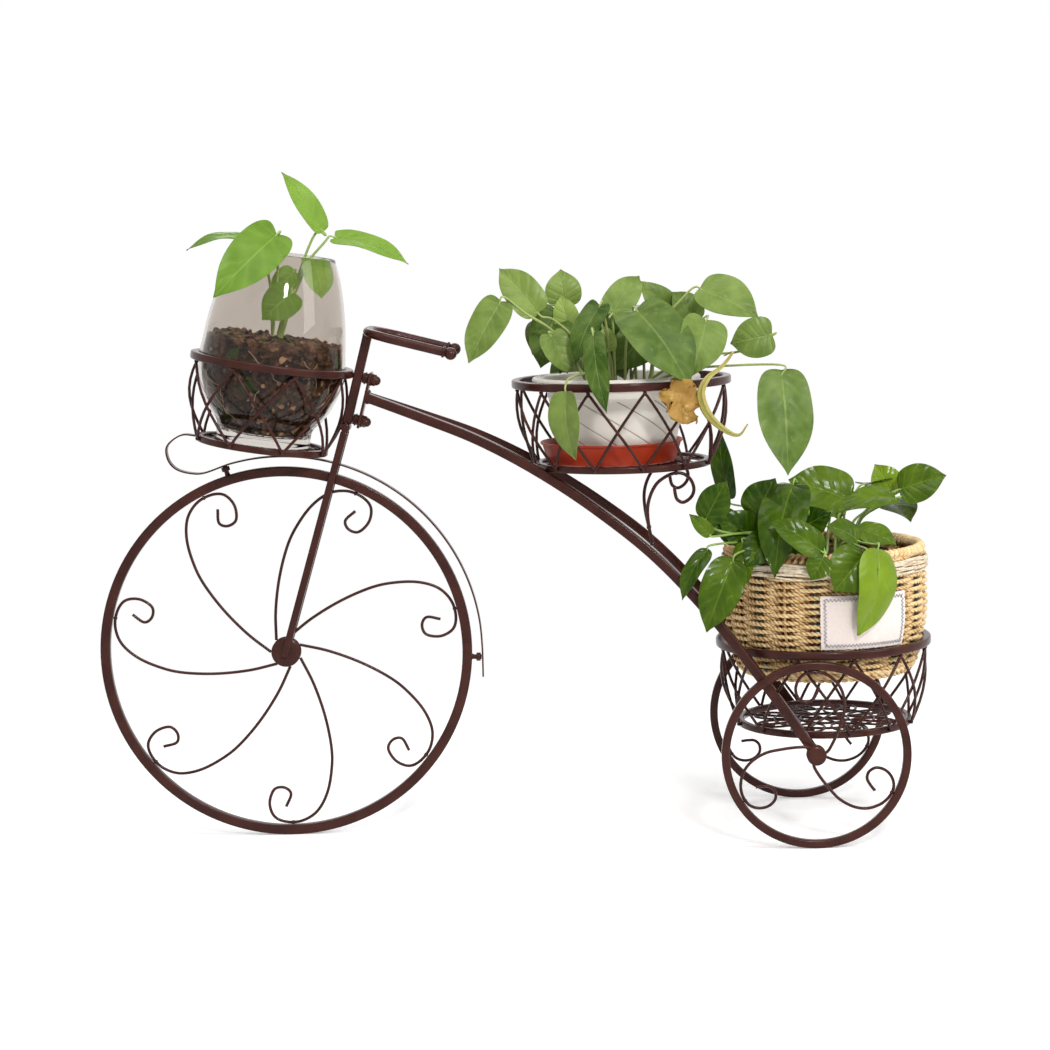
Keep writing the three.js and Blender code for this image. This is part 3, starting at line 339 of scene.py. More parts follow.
def turned(name, outline, place, steps=96, ring=False, smooth_angle=35):
    """Spins an outline of (radius, height) pairs about its axis, as on a lathe or a ring bender."""
    bpy.ops.mesh.primitive_circle_add(vertices=len(outline), radius=1, location=(0, 0, 0))
    piece = bpy.context.object
    piece.name = name
    mesh = piece.data
    for corner, (radius, height) in zip(mesh.vertices, outline):
        corner.co = (radius, 0, height)
    bpy.ops.object.mode_set(mode="EDIT")
    bpy.ops.mesh.select_mode(type="EDGE")
    if not ring:
        bpy.ops.mesh.select_all(action="DESELECT")
        sketch = bmesh.from_edit_mesh(mesh)
        sketch.edges.ensure_lookup_table()
        ends = {0, len(outline) - 1}
        for edge in sketch.edges:
            edge.select = {corner.index for corner in edge.verts} == ends
        bmesh.update_edit_mesh(mesh)
        bpy.ops.mesh.delete(type="EDGE")
    bpy.ops.mesh.select_all(action="SELECT")
    bpy.ops.mesh.spin(steps=steps, angle=full_turn, center=(0, 0, 0), axis=(0, 0, 1))
    bpy.ops.mesh.select_all(action="SELECT")
    bpy.ops.mesh.remove_doubles(threshold=mm / 100)
    bpy.ops.mesh.normals_make_consistent(inside=False)
    bpy.ops.object.mode_set(mode="OBJECT")
    settle(piece, place)
    soften(piece, smooth_angle)
    return piece


def bar(name, start, end, width, depth, corner, roll=None):
    """Makes a straight bar between two points, with its edges rounded off."""
    start = Vector(start)
    end = Vector(end)
    bpy.ops.mesh.primitive_cube_add(size=1, location=(0, 0, 0))
    piece = bpy.context.object
    piece.name = name
    piece.scale = (width, depth, (end - start).length)
    settle(piece)
    edges = piece.modifiers.new("edges", "BEVEL")
    edges.width = corner
    edges.segments = 3
    apply_modifiers(piece)
    lean = (end - start).to_track_quat("Z", "Y").to_matrix().to_4x4() if roll is None else roll
    settle(piece, Matrix.Translation((start + end) / 2) @ lean)
    soften(piece)
    return piece


def prism(name, start, end, radius, sides, corner):
    """Makes a nut or washer between two points: a cylinder primitive with its edges rounded off."""
    start = Vector(start)
    end = Vector(end)
    bpy.ops.mesh.primitive_cylinder_add(vertices=sides, radius=radius, depth=(end - start).length)
    piece = bpy.context.object
    piece.name = name
    edges = piece.modifiers.new("edges", "BEVEL")
    edges.width = corner
    edges.segments = 2
    apply_modifiers(piece)
    lean = (end - start).to_track_quat("Z", "Y").to_matrix().to_4x4()
    settle(piece, Matrix.Translation((start + end) / 2) @ lean)
    soften(piece)
    return piece


print("bench tools ready")

# %% [markdown]
# The finish on all the metal is a brown powder coat: a thin plastic skin, baked on, glossy and a
# little uneven like the peel of an orange. Brown pigment shows redder where the coat is thin, so a
# slow noise mixes two browns, and a fine noise makes the skin's bumps.

# %% Powder coat
finishes = {}


def new_finish(name):
    """Gives an empty material with its shader, and a function that adds a node."""
    material = bpy.data.materials.new(name)
    material.use_nodes = True
    tree = material.node_tree
    shader = tree.nodes["Principled BSDF"]

    def add(kind, **settings):
        node = tree.nodes.new(kind)
        for key, value in settings.items():
            if key in node.inputs:
                node.inputs[key].default_value = value
            else:
                setattr(node, key, value)
        return node

    finishes[name] = material
    return tree, shader, add


def mix_colours(tree, add, share, first, second):
    """Blends two colours by a share that varies over the surface. Each is three numbers or a socket."""
    mix = add("ShaderNodeMix", data_type="RGBA")
    tree.links.new(share, mix.inputs[0])
    for socket, colour in zip(mix.inputs[6:8], (first, second)):
        if isinstance(colour, tuple):
            socket.default_value = (*colour, 1)
        else:
            tree.links.new(colour, socket)
    return mix.outputs[2]


def sharpen(tree, add, value, low, high):
    """Stretches a value between two limits to run from 0 to 1."""
    ramp = add("ShaderNodeMapRange")
    ramp.inputs["From Min"].default_value = low
    ramp.inputs["From Max"].default_value = high
    tree.links.new(value, ramp.inputs["Value"])
    return ramp.outputs[0]


def colour_ramp(tree, add, value, colours):
    """Gives a colour for a value, between the given colours from 0 to 1."""
    ramp = add("ShaderNodeValToRGB")
    for share, colour in colours:
        if share in (0, 1):
            stop = ramp.color_ramp.elements[-share]
        else:
            stop = ramp.color_ramp.elements.new(share)
        stop.color = (*colour, 1)
    tree.links.new(value, ramp.inputs[0])
    return ramp.outputs[0]


def calc(tree, add, operation, first, second=None):
    """Works out one sum, where each side is a socket or a number."""
    sum_node = add("ShaderNodeMath", operation=operation)
    for socket, value in zip(sum_node.inputs, (first, second)):
        if isinstance(value, (int, float)):
            socket.default_value = value
        elif value is not None:
            tree.links.new(value, socket)
    return sum_node.outputs[0]


def object_noise(tree, add, scale, detail=4, roughness=0.55):
    """Gives a noise in the piece's own coordinates."""
    place = add("ShaderNodeTexCoord")
    grain = add("ShaderNodeTexNoise", Scale=scale, Detail=detail, Roughness=roughness)
    tree.links.new(place.outputs["Object"], grain.inputs["Vector"])
    return grain.outputs["Fac"]


def roughen(tree, add, shader, height, depth, strength=1, normal=None):
    """Adds a bump of a given depth."""
    bump = add("ShaderNodeBump", Strength=strength, Distance=depth)
    tree.links.new(height, bump.inputs["Height"])
    if normal is not None:
        tree.links.new(normal, bump.inputs["Normal"])
    tree.links.new(bump.outputs["Normal"], shader.inputs["Normal"])
    return bump.outputs["Normal"]


def mottled_finish(name, first, second, patches, roughness, bumps=None, limits=(0, 1)):
    """Makes a finish of two colours that a noise mixes. Patches are a noise's scale and detail, and bumps
    are a scale, a detail, a depth in millimetres and a strength."""
    tree, shader, add = new_finish(name)
    share = sharpen(tree, add, object_noise(tree, add, *patches), *limits)
    tree.links.new(mix_colours(tree, add, share, first, second), shader.inputs["Base Color"])
    shader.inputs["Roughness"].default_value = roughness
    if bumps:
        scale, detail, depth, strength = bumps
        roughen(tree, add, shader, object_noise(tree, add, scale, detail), depth * mm, strength)
    return shader


tree, shader, add = new_finish("paint")
thin_coat = (0.056, 0.0165, 0.0115)
thick_coat = (0.036, 0.0105, 0.008)
patches = sharpen(tree, add, object_noise(tree, add, 38, 3), 0.35, 0.65)
coat = mix_colours(tree, add, patches, thick_coat, thin_coat)
tree.links.new(coat, shader.inputs["Base Color"])
shader.inputs["Specular IOR Level"].default_value = 0.14
shader.inputs["Coat Weight"].default_value = 0.03
shader.inputs["Coat Roughness"].default_value = 0.1
gloss = add("ShaderNodeMapRange")
gloss.inputs["To Min"].default_value = 0.2
gloss.inputs["To Max"].default_value = 0.25
tree.links.new(patches, gloss.inputs["Value"])
tree.links.new(gloss.outputs[0], shader.inputs["Roughness"])
roughen(tree, add, shader, object_noise(tree, add, 420, 2), 0.2 * mm, 0.02)


def hand_over(piece, body, finish, nodes=()):
    """Gives a piece its finish and the body that carries it, and hides the solids that it stands for."""
    piece.data.materials.clear()
    piece.data.materials.append(finishes[finish])
    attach(piece, body)
    if nodes:
        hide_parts(*nodes)
    return piece


print("finish", list(finishes))

# %% [markdown]
# Each wheel's rim is a square tube bent into a circle. The section is drawn once with rounded
# corners and spun about the axle. The wheels stand upright, so the spun ring is tipped onto its
# edge and moved to the hub.

# %% Rims
tube_corner = 1.7 * mm
upright = Matrix.Rotation(math.pi / 2, 4, "X")
wheels = {}
for rim_node, size in (("front_rim", 11 * mm), ("rear_rim_near", 9 * mm), ("rear_rim_far", 9 * mm)):
    hub = middle(rim_node)
    radius = extent(rim_node).z / 2
    section = rounded_square(size, size, tube_corner)
    outline = [(radius - size / 2 + x, y) for x, y in section]
    rim = turned(f"{rim_node}_tube", outline, Matrix.Translation(hub) @ upright, 144, ring=True)
    hand_over(rim, "stand", "paint", [rim_node])
    wheels[rim_node] = (hub, radius, size)
    print(rim_node, "radius", round(radius / mm, 1), "mm")

# %% [markdown]
# A scrolled spoke is a thin rod, bent cold round a jig and welded to the hub and the rim. Its line
# is given by angles from its free end and by shares of the rim's inside radius, so one line serves
# every spoke of a wheel. The weld beads are small lumps where the rods meet the rim.

# %% Spokes
spoke_size = 3.4 * mm
front_bead = 2.6 * mm
rear_bead = 2.4 * mm
front_spoke_angles = [-66.7, -40.1, -30.8, -24.8, -20.1, -15.6, -10.7, -5.2, 0.2, 4.2, 6.2, 4.9,
                      0.8, -1.9, 0]
front_spoke_shares = [0.087, 0.244, 0.433, 0.617, 0.746, 0.856, 0.94, 0.982, 0.984, 0.955, 0.881, 0.801,
                      0.786, 0.823, 0.896]
rear_spoke_angles = [58.1, 73.6, 51.4, 38.2, 31, 23.1, 15.5, 7, -0.9, -8.7, -14.8, -19.1, -19.5, -13.8,
                     -6.6, -2.5, 0]
rear_spoke_shares = [0, 0.118, 0.234, 0.4, 0.58, 0.741, 0.857, 0.937, 0.975, 0.971, 0.913, 0.817, 0.706,
                     0.639, 0.648, 0.713, 0.796]


def lump(place, size, seed):
    """Adds a weld bead: a small ball, dented at random."""
    bpy.ops.mesh.primitive_ico_sphere_add(subdivisions=2, radius=size, location=place)
    bead = bpy.context.object
    shaker = random.Random(seed)
    for corner in bead.data.vertices:
        corner.co *= shaker.uniform(0.82, 1.05)
    settle(bead)
    soften(bead, 80)
    return bead


def spoke_line(wheel, angles, shares, free_end):
    """Carries a spoke's angles and shares into the plane of its wheel."""
    hub, radius, size = wheels[wheel]
    inside = radius - size
    line = []
    for angle, share in zip(angles, shares):
        turn = math.radians(free_end - angle)
        reach = min(share * inside, inside - spoke_size / 2)
        line.append(hub + Vector((math.cos(turn), 0, math.sin(turn))) * reach)
    return bend(line)


front_free_end = 113.4
front_spoke_count = 7
for i in range(front_spoke_count):
    free_end = front_free_end - i * 360 / front_spoke_count
    line = spoke_line("front_rim", front_spoke_angles, front_spoke_shares, free_end)
    spoke = wire(f"scroll_spoke_{i + 1}", line, spoke_size)
    touch = max(line, key=lambda point: (point - wheels["front_rim"][0]).length)
    bead = lump(touch, front_bead, i)
    spoke = join(f"scroll_spoke_{i + 1}", [spoke, bead])
    hand_over(spoke, "stand", "paint", [f"front_spoke_{i + 1}"])

hub = wheels["front_rim"][0]
hub_half_width = 6.2 * mm


def spool(name, place, flange, barrel):
    """Makes a hub: two round flanges with soft edges on a thinner barrel."""
    flange_width = 2 * mm
    edge = 0.8 * mm
    outline = [
        (0, -hub_half_width - edge / 2),
        (flange * 0.6, -hub_half_width - edge / 2),
        (flange - edge, -hub_half_width),
        (flange, edge - hub_half_width),
        (flange, flange_width - hub_half_width - edge / 2),
        (flange - edge, flange_width - hub_half_width),
        (barrel, flange_width - hub_half_width),
    ]
    outline += [(radius, -height) for radius, height in reversed(outline)]
    return turned(name, outline, Matrix.Translation(place) @ upright, 48, smooth_angle=50)


front_hub = spool("front_spool", hub, flange=16.7 * mm, barrel=11 * mm)
hand_over(front_hub, "stand", "paint", ["front_hub"])

rear_free_end = 207
rear_spoke_count = 3
for side in ("near", "far"):
    wheel = f"rear_rim_{side}"
    parts = [spool("rear_spool", wheels[wheel][0], flange=10.7 * mm, barrel=6.5 * mm)]
    for i in range(rear_spoke_count):
        free_end = rear_free_end - i * 360 / rear_spoke_count
        line = spoke_line(wheel, rear_spoke_angles, rear_spoke_shares, free_end)
        parts.append(wire("rear_spoke", line, spoke_size))
        touch = max(line, key=lambda point: (point - wheels[wheel][0]).length)
        parts.append(lump(touch, rear_bead, 20 + i))
    spider = join(f"scroll_spider_{side}", parts)
    hand_over(spider, "stand", "paint", [f"rear_spokes_{side}"])
print("spokes", front_spoke_count + 2 * rear_spoke_count)

# %% [markdown]
# The fork is two square bars from the hub up to a short round crown, and the post stands on the
# crown, leaning a little less than the fork. The bars are boxes between two points with rounded
# edges. The sizes of the head group follow its own lean, so they are written in its own axes.

# %% Fork, post and plate
crown = middle("fork_crown")
post_turn = Matrix.Rotation(math.radians(15.2), 4, "Y")
head = Matrix.Translation(crown) @ post_turn
crown_reach = 4.4
crown_radius = 5 * mm
post_size = 10.4 * mm
blade_size = 8 * mm
blade_line = (crown - hub).normalized()
for side in ("near", "far"):
    offset = Vector((0, middle(f"fork_blade_{side}").y, 0))
    low = hub + offset - blade_line * blade_size / 2
    high = crown + offset - blade_line * crown_reach * mm
    blade = bar(f"blade_{side}", low, high, blade_size, blade_size, 1.2 * mm)
    hand_over(blade, "stand", "paint", [f"fork_blade_{side}"])

crown_half = Vector((0, extent("fork_crown").y / 2, 0))
crown_bar = prism("crown_bar", crown - crown_half, crown + crown_half, crown_radius, 32, 1.2 * mm)
beads = [lump(crown + Vector((0, sign * 5 * mm, 4 * mm)), 3.4 * mm, 31 + sign) for sign in (-1, 1)]
hand_over(join("crown_bar", [crown_bar, *beads]), "stand", "paint", ["fork_crown"])


def in_head(x, y, z):
    """Carries a place in the head group's own axes, in millimetres, to the stand's."""
    return head @ (Vector((x, y, z)) * mm)


post_height = 111.5
bar_seat = 3
post_foot = in_head(0, 0, crown_reach)
post_top = in_head(0, 0, post_height - bar_seat)
post = bar("post_bar", post_foot, post_top, post_size, post_size, 1.3 * mm, post_turn)
hand_over(post, "stand", "paint", ["head_post"])
plate_from = 12.1
plate_to = plate_from + 3
plate_width = 26 * mm
plate_low_height = 3
plate_high_height = 67
plate_low = in_head((plate_from + plate_to) / 2, 0, plate_low_height)
plate_high = in_head((plate_from + plate_to) / 2, 0, plate_high_height)
plate_thickness = (plate_to - plate_from) * mm
plate = bar("bolt_plate", plate_low, plate_high, plate_thickness, plate_width, 0.9 * mm, post_turn)
hand_over(plate, "stand", "paint", ["head_plate"])

# %% [markdown]
# Two bolts hold the plate to the post. Each has a hexagonal collar in the gap and an acorn nut on
# the outside, whose dome is spun from a quarter circle. A round or six-sided section of them is a row
# of five sizes: from and to along the bolt, radius, number of sides and width of the soft edge.

# %% Bolts and acorn nuts
bolt_rows = [(-6.4, 18, 3, 24, 0.5), (5.5, 11.9, 6.2, 6, 0.8), (7.8, 9.4, 7.2, 32, 0.5)]
nut_rows = [(15.2, 16.4, 7.4, 32, 0.5), (15.9, 20.6, 6.8, 6, 0.7)]
bolt_heights = {"lower": 11, "upper": 59}
dome_radius = 5.6 * mm
dome_height = 5.8 * mm
dome_outline = [(0, -1 * mm), (dome_radius, -1 * mm)]
for step in range(7):
    angle = step / 6 * math.pi / 2
    dome_outline.append((dome_radius * math.cos(angle), dome_height * math.sin(angle)))
along_bolt = post_turn @ Matrix.Rotation(math.pi / 2, 4, "Y")


def bolt_sections(rows, height):
    """Makes the sections of a bolt or a nut at a height up the post."""
    sections = []
    for start, end, radius, sides, edge in rows:
        low = in_head(start, 0, height)
        high = in_head(end, 0, height)
        sections.append(prism("section", low, high, radius * mm, sides, edge * mm))
    return sections


for level, height in bolt_heights.items():
    bolt = join(f"{level}_collar_bolt", bolt_sections(bolt_rows, height))
    hand_over(bolt, "stand", "paint", [f"{level}_bolt"])
    dome_place = Matrix.Translation(in_head(20.4, 0, height)) @ along_bolt
    dome = turned("dome", dome_outline, dome_place, 32, smooth_angle=60)
    nut = join(f"{level}_dome_nut", [*bolt_sections(nut_rows, height), dome])
    hand_over(nut, "stand", "paint", [f"{level}_acorn_nut"])
print("bolts at", list(bolt_heights.values()), "mm up the post")

# %% [markdown]
# The handlebar is a round tube bent to a U and welded across the top of the post. Each end has a
# ball with a small collar in front of it.

# %% Handlebar
bar_half_width = 50
bar_reach = 90
bar_corner = 34
bar_size = 10.2 * mm
corner_steps = 8
u_line = []
for sign in (-1, 1):
    arm = [in_head(bar_reach, sign * bar_half_width, post_height)]
    for step in range(corner_steps + 1):
        angle = step / corner_steps * math.pi / 2
        x = bar_corner * (1 - math.sin(angle))
        y = sign * (bar_half_width - bar_corner * (1 - math.cos(angle)))
        arm.append(in_head(x, y, post_height))
    u_line += arm if sign < 0 else list(reversed(arm))
handlebar = wire("handlebar_tube", u_line, bar_size, bevel_steps=6)
saddle = lump(in_head(0, 0, post_height - 4), 6.4 * mm, 41)
hand_over(join("handlebar_tube", [handlebar, saddle]), "stand", "paint", ["handlebar"])

ball_radius = 7
ball_outline = [(0, -2.5), (5.4, -2.5), (6.4, -1.8), (6.4, -0.2), (5.3, 0.6)]
for step in range(10):
    angle = math.radians(-50 + step / 9 * 140)
    ball_outline.append((ball_radius * math.cos(angle), ball_radius + ball_radius * math.sin(angle)))
for side, sign in (("near", -1), ("far", 1)):
    bar_end = Matrix.Translation(in_head(bar_reach, sign * bar_half_width, post_height))
    ball = turned(f"end_ball_{side}", in_mm(ball_outline), bar_end @ along_bolt, 36, smooth_angle=50)
    hand_over(ball, "stand", "paint", [f"handlebar_ball_{side}"])
print("handlebar", 2 * bar_half_width, "mm wide")

# %% [markdown]
# The two rails are square tubes that leave the plate together, spread in a V and bend down to the
# rear hubs. Each follows its line with a rounded square section that stays upright.

# %% Rails
rail_size = 10.5 * mm
rail_section = section_curve("rail_section", rounded_square(rail_size, rail_size, 1.5 * mm))
rail_shares = [(0, 0), (0.12, 0.056), (0.258, 0.125), (0.394, 0.216), (0.528, 0.328), (0.661, 0.464),
               (0.793, 0.645), (0.912, 0.843), (1, 1)]
rail_front_height = 39
rail_front = in_head(plate_to, 0, rail_front_height)
rear_hub = wheels["rear_rim_near"][0]
rail_front_side = 7.2 * mm
rail_slant = 1.17
rail_rear_side = abs(rear_hub.y) - hub_half_width - rail_size / 2 * rail_slant
for side, sign in (("near", -1), ("far", 1)):
    knots = []
    for run, drop in rail_shares:
        x = rail_front.x + (rear_hub.x - rail_front.x) * run
        y = sign * (rail_front_side + (rail_rear_side - rail_front_side) * run)
        z = rail_front.z + (rear_hub.z - rail_front.z) * drop
        knots.append(Vector((x, y, z)))
    rail_line = bend(knots, steps=8)
    parts = [wire(f"rail_tube_{side}", rail_line, rail_size, section=rail_section, twist="Z_UP")]
    for rise in (-5, 5):
        weld = rail_front + Vector((1 * mm, sign * rail_front_side, rise * mm))
        parts.append(lump(weld, 3.2 * mm, 50 + rise))
    hand_over(join(f"rail_tube_{side}", parts), "stand", "paint", [f"rail_{side}"])
bpy.data.objects.remove(rail_section)
print("rails", round(length_of(rail_line) / mm), "mm long")

# %% [markdown]
# A basket is two rings joined by two zigzag rods that cross each other halfway. The legs swell
# outwards a little. A ring's place, tilt and size come from its solid, so the tilted front basket
# and the level ones use the same steps.

# %% Basket rings and zigzags
lattice_size = 3.3 * mm
zigzag_bend = 5 * mm
baskets = {
    "front_basket": {"legs": 8, "first": 23.5, "swell": 6.0, "top_tube": 9, "bottom_tube": 7.5},
    "middle_basket": {"legs": 12, "first": -18.5, "swell": 5.5, "top_tube": 9, "bottom_tube": 7.5},
    "rear_basket": {"legs": 12, "first": -18.5, "swell": 5.5, "top_tube": 9, "bottom_tube": 7.5},
}


def measure_basket(name):
    """Reads a basket's place, tilt, radii and height from its two rings."""
    top = middle(f"{name}_top_ring")
    bottom = middle(f"{name}_bottom_ring")
    axis = (top - bottom).normalized()
    tilt = math.atan2(axis.x, axis.z)
    data = baskets[name]
    data["place"] = Matrix.Translation(top) @ Matrix.Rotation(tilt, 4, "Y")
    data["height"] = (top - bottom).length
    data["top_radius"] = extent(f"{name}_top_ring").y / 2
    data["bottom_radius"] = extent(f"{name}_bottom_ring").y / 2


def zigzag_line(data, first_leg, inset):
    """Gives the line of a zigzag whose legs swell outwards and whose corners are bent, and the corners."""
    top_radius = data["top_radius"] - data["top_tube"] * mm / 2
    bottom_radius = data["bottom_radius"] + lattice_size / 2
    top_z = -data["top_tube"] * mm / 2 - lattice_size / 2
    bottom_z = -data["height"]
    leg_steps = 8
    corners = []
    for leg in range(data["legs"]):
        for step in range(leg_steps):
            share = step / leg_steps
            down = share if leg % 2 == 0 else 1 - share
            angle = math.radians(data["first"] + (first_leg + leg + share) * 360 / data["legs"])
            swell = (data["swell"] * mm - inset) * math.sin(math.pi * share)
            radius = top_radius + (bottom_radius - top_radius) * down + swell
            height = top_z + (bottom_z - top_z) * down
            corner = Vector((radius * math.sin(angle), -radius * math.cos(angle), height))
            corners.append((corner, step == 0))
    line = []
    for i, (corner, sharp) in enumerate(corners):
        if not sharp:
            line.append(corner)
            continue
        before = corners[i - 1][0]
        after = corners[(i + 1) % len(corners)][0]
        start = corner + (before - corner).normalized() * zigzag_bend
        end = corner + (after - corner).normalized() * zigzag_bend
        for step in range(6):
            share = step / 5
            line.append(start.lerp(corner, share).lerp(corner.lerp(end, share), share))
    apexes = [corner for corner, sharp in corners if sharp]
    return line, apexes


for name, data in baskets.items():
    measure_basket(name)
    for level, radius, tube, height in (
        ("top", data["top_radius"], data["top_tube"] * mm, 0),
        ("bottom", data["bottom_radius"], data["bottom_tube"] * mm, -data["height"]),
    ):
        outline = [(radius - tube / 2 + x, height + y) for x, y in rounded_square(tube, tube, tube * 0.2)]
        hoop = turned(f"{name}_{level}_hoop", outline, data["place"], 120, ring=True)
        hand_over(hoop, "stand", "paint", [f"{name}_{level}_ring"])
    for kind, first_leg, inset in (("outer", 0, 0), ("inner", 1, lattice_size + 0.2 * mm)):
        line, apexes = zigzag_line(data, first_leg, inset)
        rod = wire(f"{name}_{kind}_rod", line, lattice_size, closed=True)
        beads = [lump(apex, 2.5 * mm, 60 + i) for i, apex in enumerate(apexes)]
        rod = join(f"{name}_{kind}_rod", [rod, *beads])
        settle(rod, data["place"])
        hand_over(rod, "stand", "paint", [f"{name}_zigzag_{kind}"])
    ring_sizes = [round(data[level] / mm, 1) for level in ("top_radius", "bottom_radius")]
    print(name, "rings", ring_sizes, "mm")

# %% [markdown]
# The floor of a basket is a lace of thin rod: a star of arms, a ring, and a pair of scrolls between
# each two arms. One arm with its scrolls is bent once and copied round the middle.

# %% Basket floors
grille_size = 3 * mm
arm_count = 8
scroll_shares = [(0.34, 0.0), (0.4, 0.1), (0.52, 0.17), (0.66, 0.2), (0.8, 0.17), (0.88, 0.09),
                 (0.84, 0.03), (0.76, 0.05), (0.75, 0.11)]
for name, data in baskets.items():
    inside = data["bottom_radius"] - data["bottom_tube"] * mm
    floor_middle = Vector((0, 0, -data["height"]))
    pieces = []
    for i in range(arm_count):
        angle = (i + 0.5) * full_turn / arm_count
        along = ring_point(1, angle, 0)
        across = ring_point(1, angle + math.pi / 2, 0)
        pieces.append(wire("arm", [floor_middle, floor_middle + along * inside], grille_size))
        for sign in (-1, 1):
            line = []
            for run, side in scroll_shares:
                line.append(floor_middle + (along * run + across * side * sign) * inside)
            pieces.append(wire("scroll", bend(line, steps=4), grille_size * 0.9))
    for share in (0.3, 0.62):
        circle = circle_line(inside * share, floor_middle.z, 48)
        pieces.append(wire("circle", circle, grille_size, closed=True))
    lace = join(f"{name}_floor_lace", pieces)
    settle(lace, data["place"])
    hand_over(lace, "stand", "paint", [f"{name}_grille"])
print("floor lace arms", arm_count)

# %% [markdown]
# Two scrolled brackets stand on the rails and hold the back of the middle basket.

# %% Scroll brackets
bracket_rod = 3.8 * mm
bracket_shares = [(-0.36, 0), (-0.406, 0.245), (-0.42, 0.49), (-0.376, 0.686), (-0.277, 0.859),
                  (-0.127, 0.964), (0, 1), (0.116, 0.978), (0.203, 0.897), (0.243, 0.788), (0.228, 0.691),
                  (0.167, 0.616), (0.079, 0.578), (0.001, 0.627), (-0.025, 0.727), (-0.029, 0.795)]
for side in ("near", "far"):
    low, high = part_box(f"scroll_bracket_{side}")
    scroll_height = high.z - low.z - bracket_rod
    foot_x = low.x + bracket_rod / 2 - min(x for x, z in bracket_shares) * scroll_height
    foot = Vector((foot_x, (low.y + high.y) / 2, low.z + bracket_rod / 2))
    line = [foot + Vector((x, 0, z)) * scroll_height for x, z in bracket_shares]
    scroll = wire(f"bracket_scroll_{side}", bend(line), bracket_rod)
    beads = [lump(line[0], 3 * mm, 80), lump(line[6], 2.8 * mm, 81)]
    bracket = join(f"bracket_scroll_{side}", [scroll, *beads])
    hand_over(bracket, "stand", "paint", [f"scroll_bracket_{side}"])
    print("bracket", side, round(scroll_height / mm), "mm high")

# %% [markdown]
# The mudguard is a thin flat strip. It starts on the front basket's lower ring, curls round and
# follows the wheel at a small distance, and two short studs with nuts hold it off the rim.

# %% Mudguard
strip_width = 12 * mm
strip_thickness = 1.7 * mm
strip_radius = 223.6 * mm
strip_section = section_curve("strip_section", rounded_square(strip_width, strip_thickness, 0.5 * mm))
curl_height = 44 * mm
curl_shares = [(0, 0), (-0.33, 0.04), (-0.58, -0.06), (-0.77, -0.24), (-0.8, -0.44), (-0.72, -0.68),
               (-0.53, -0.86), (-0.2, -0.96)]
front = baskets["front_basket"]
strip_start = front["place"] @ Vector((-front["bottom_radius"], 0, -front["height"]))
strip_line = [strip_start + Vector((x, 0, z)) * curl_height for x, z in curl_shares]
arc_start = 112
arc_step = 8
arc_points = 15
for step in range(arc_points):
    angle = math.radians(arc_start - arc_step * step)
    strip_line.append(hub + Vector((math.cos(angle), 0, math.sin(angle))) * strip_radius)
strip_tail = -34 * mm
strip_line.append(hub + Vector((strip_radius, 0, strip_tail)))
strip = wire("mudguard_strip", bend(strip_line, steps=8), 0, section=strip_section)
hand_over(strip, "stand", "paint", ["mudguard"])
bpy.data.objects.remove(strip_section)
stay_angles = {"front": 106, "rear": -3}
for name, angle in stay_angles.items():
    out = Vector((math.cos(math.radians(angle)), 0, math.sin(math.radians(angle))))
    rim_outside = hub + out * (wheels["front_rim"][1] - 0.5 * mm)
    strip_inside = hub + out * (strip_radius - strip_thickness / 2)
    stud = prism("stud", rim_outside, strip_inside, 2.8 * mm, 20, 0.4 * mm)
    nut = prism("nut", strip_inside - out * 6 * mm, strip_inside - out * 1 * mm, 5 * mm, 6, 0.6 * mm)
    bead = lump(rim_outside, 3.6 * mm, 85)
    hand_over(join(f"stay_stud_{name}", [stud, nut, bead]), "stand", "paint", [f"mudguard_stay_{name}"])
print("mudguard strip", round(length_of(strip_line) / mm), "mm long")

# %% [markdown]
# The vase is blown glass, tinted a smoky grey-pink, with a thick clear disc at its foot where the
# glass gathers. Its outline could be modelled from a cylinder, but a lathe gives it in one turn. The
# glass is a closed wall with an inside of its own, so it bends light twice, as the real one does. It
# bends it less than real glass, so that the rods behind it show as straight as in the photograph.
# Rays to the lamps go straight through, because soft light is slow to find its way into glass.

# %% Glass vase
vase_foot = -90.1 * mm
vase_place = front["place"] @ Matrix.Translation((0, 0, vase_foot))
vase_outline = [(50.5, 0), (53, 2), (53.4, 12), (54.5, 20), (62, 30), (69, 40), (74.5, 52), (79.5, 66),
                (82, 82), (82, 97), (80.5, 111), (78.6, 128), (75.4, 148), (71.6, 166), (67, 184),
                (61.6, 200), (56.4, 213)]
vase_wall = 2.8
glass_floor = 10
vase_curve = [(point.x, point.y) for point in bend([Vector((r, z, 0)) for r, z in vase_outline], steps=3)]
vase_inside = [(r - vase_wall, z) for r, z in vase_curve if z > glass_floor + 4]


def radius_at(outline, height):
    """Gives an outline's radius at a height, between its points."""
    for (low_r, low_z), (high_r, high_z) in zip(outline, outline[1:]):
        if low_z <= height <= high_z:
            return low_r + (high_r - low_r) * (height - low_z) / (high_z - low_z)
    return outline[-1][0] if height > outline[-1][1] else outline[0][0]


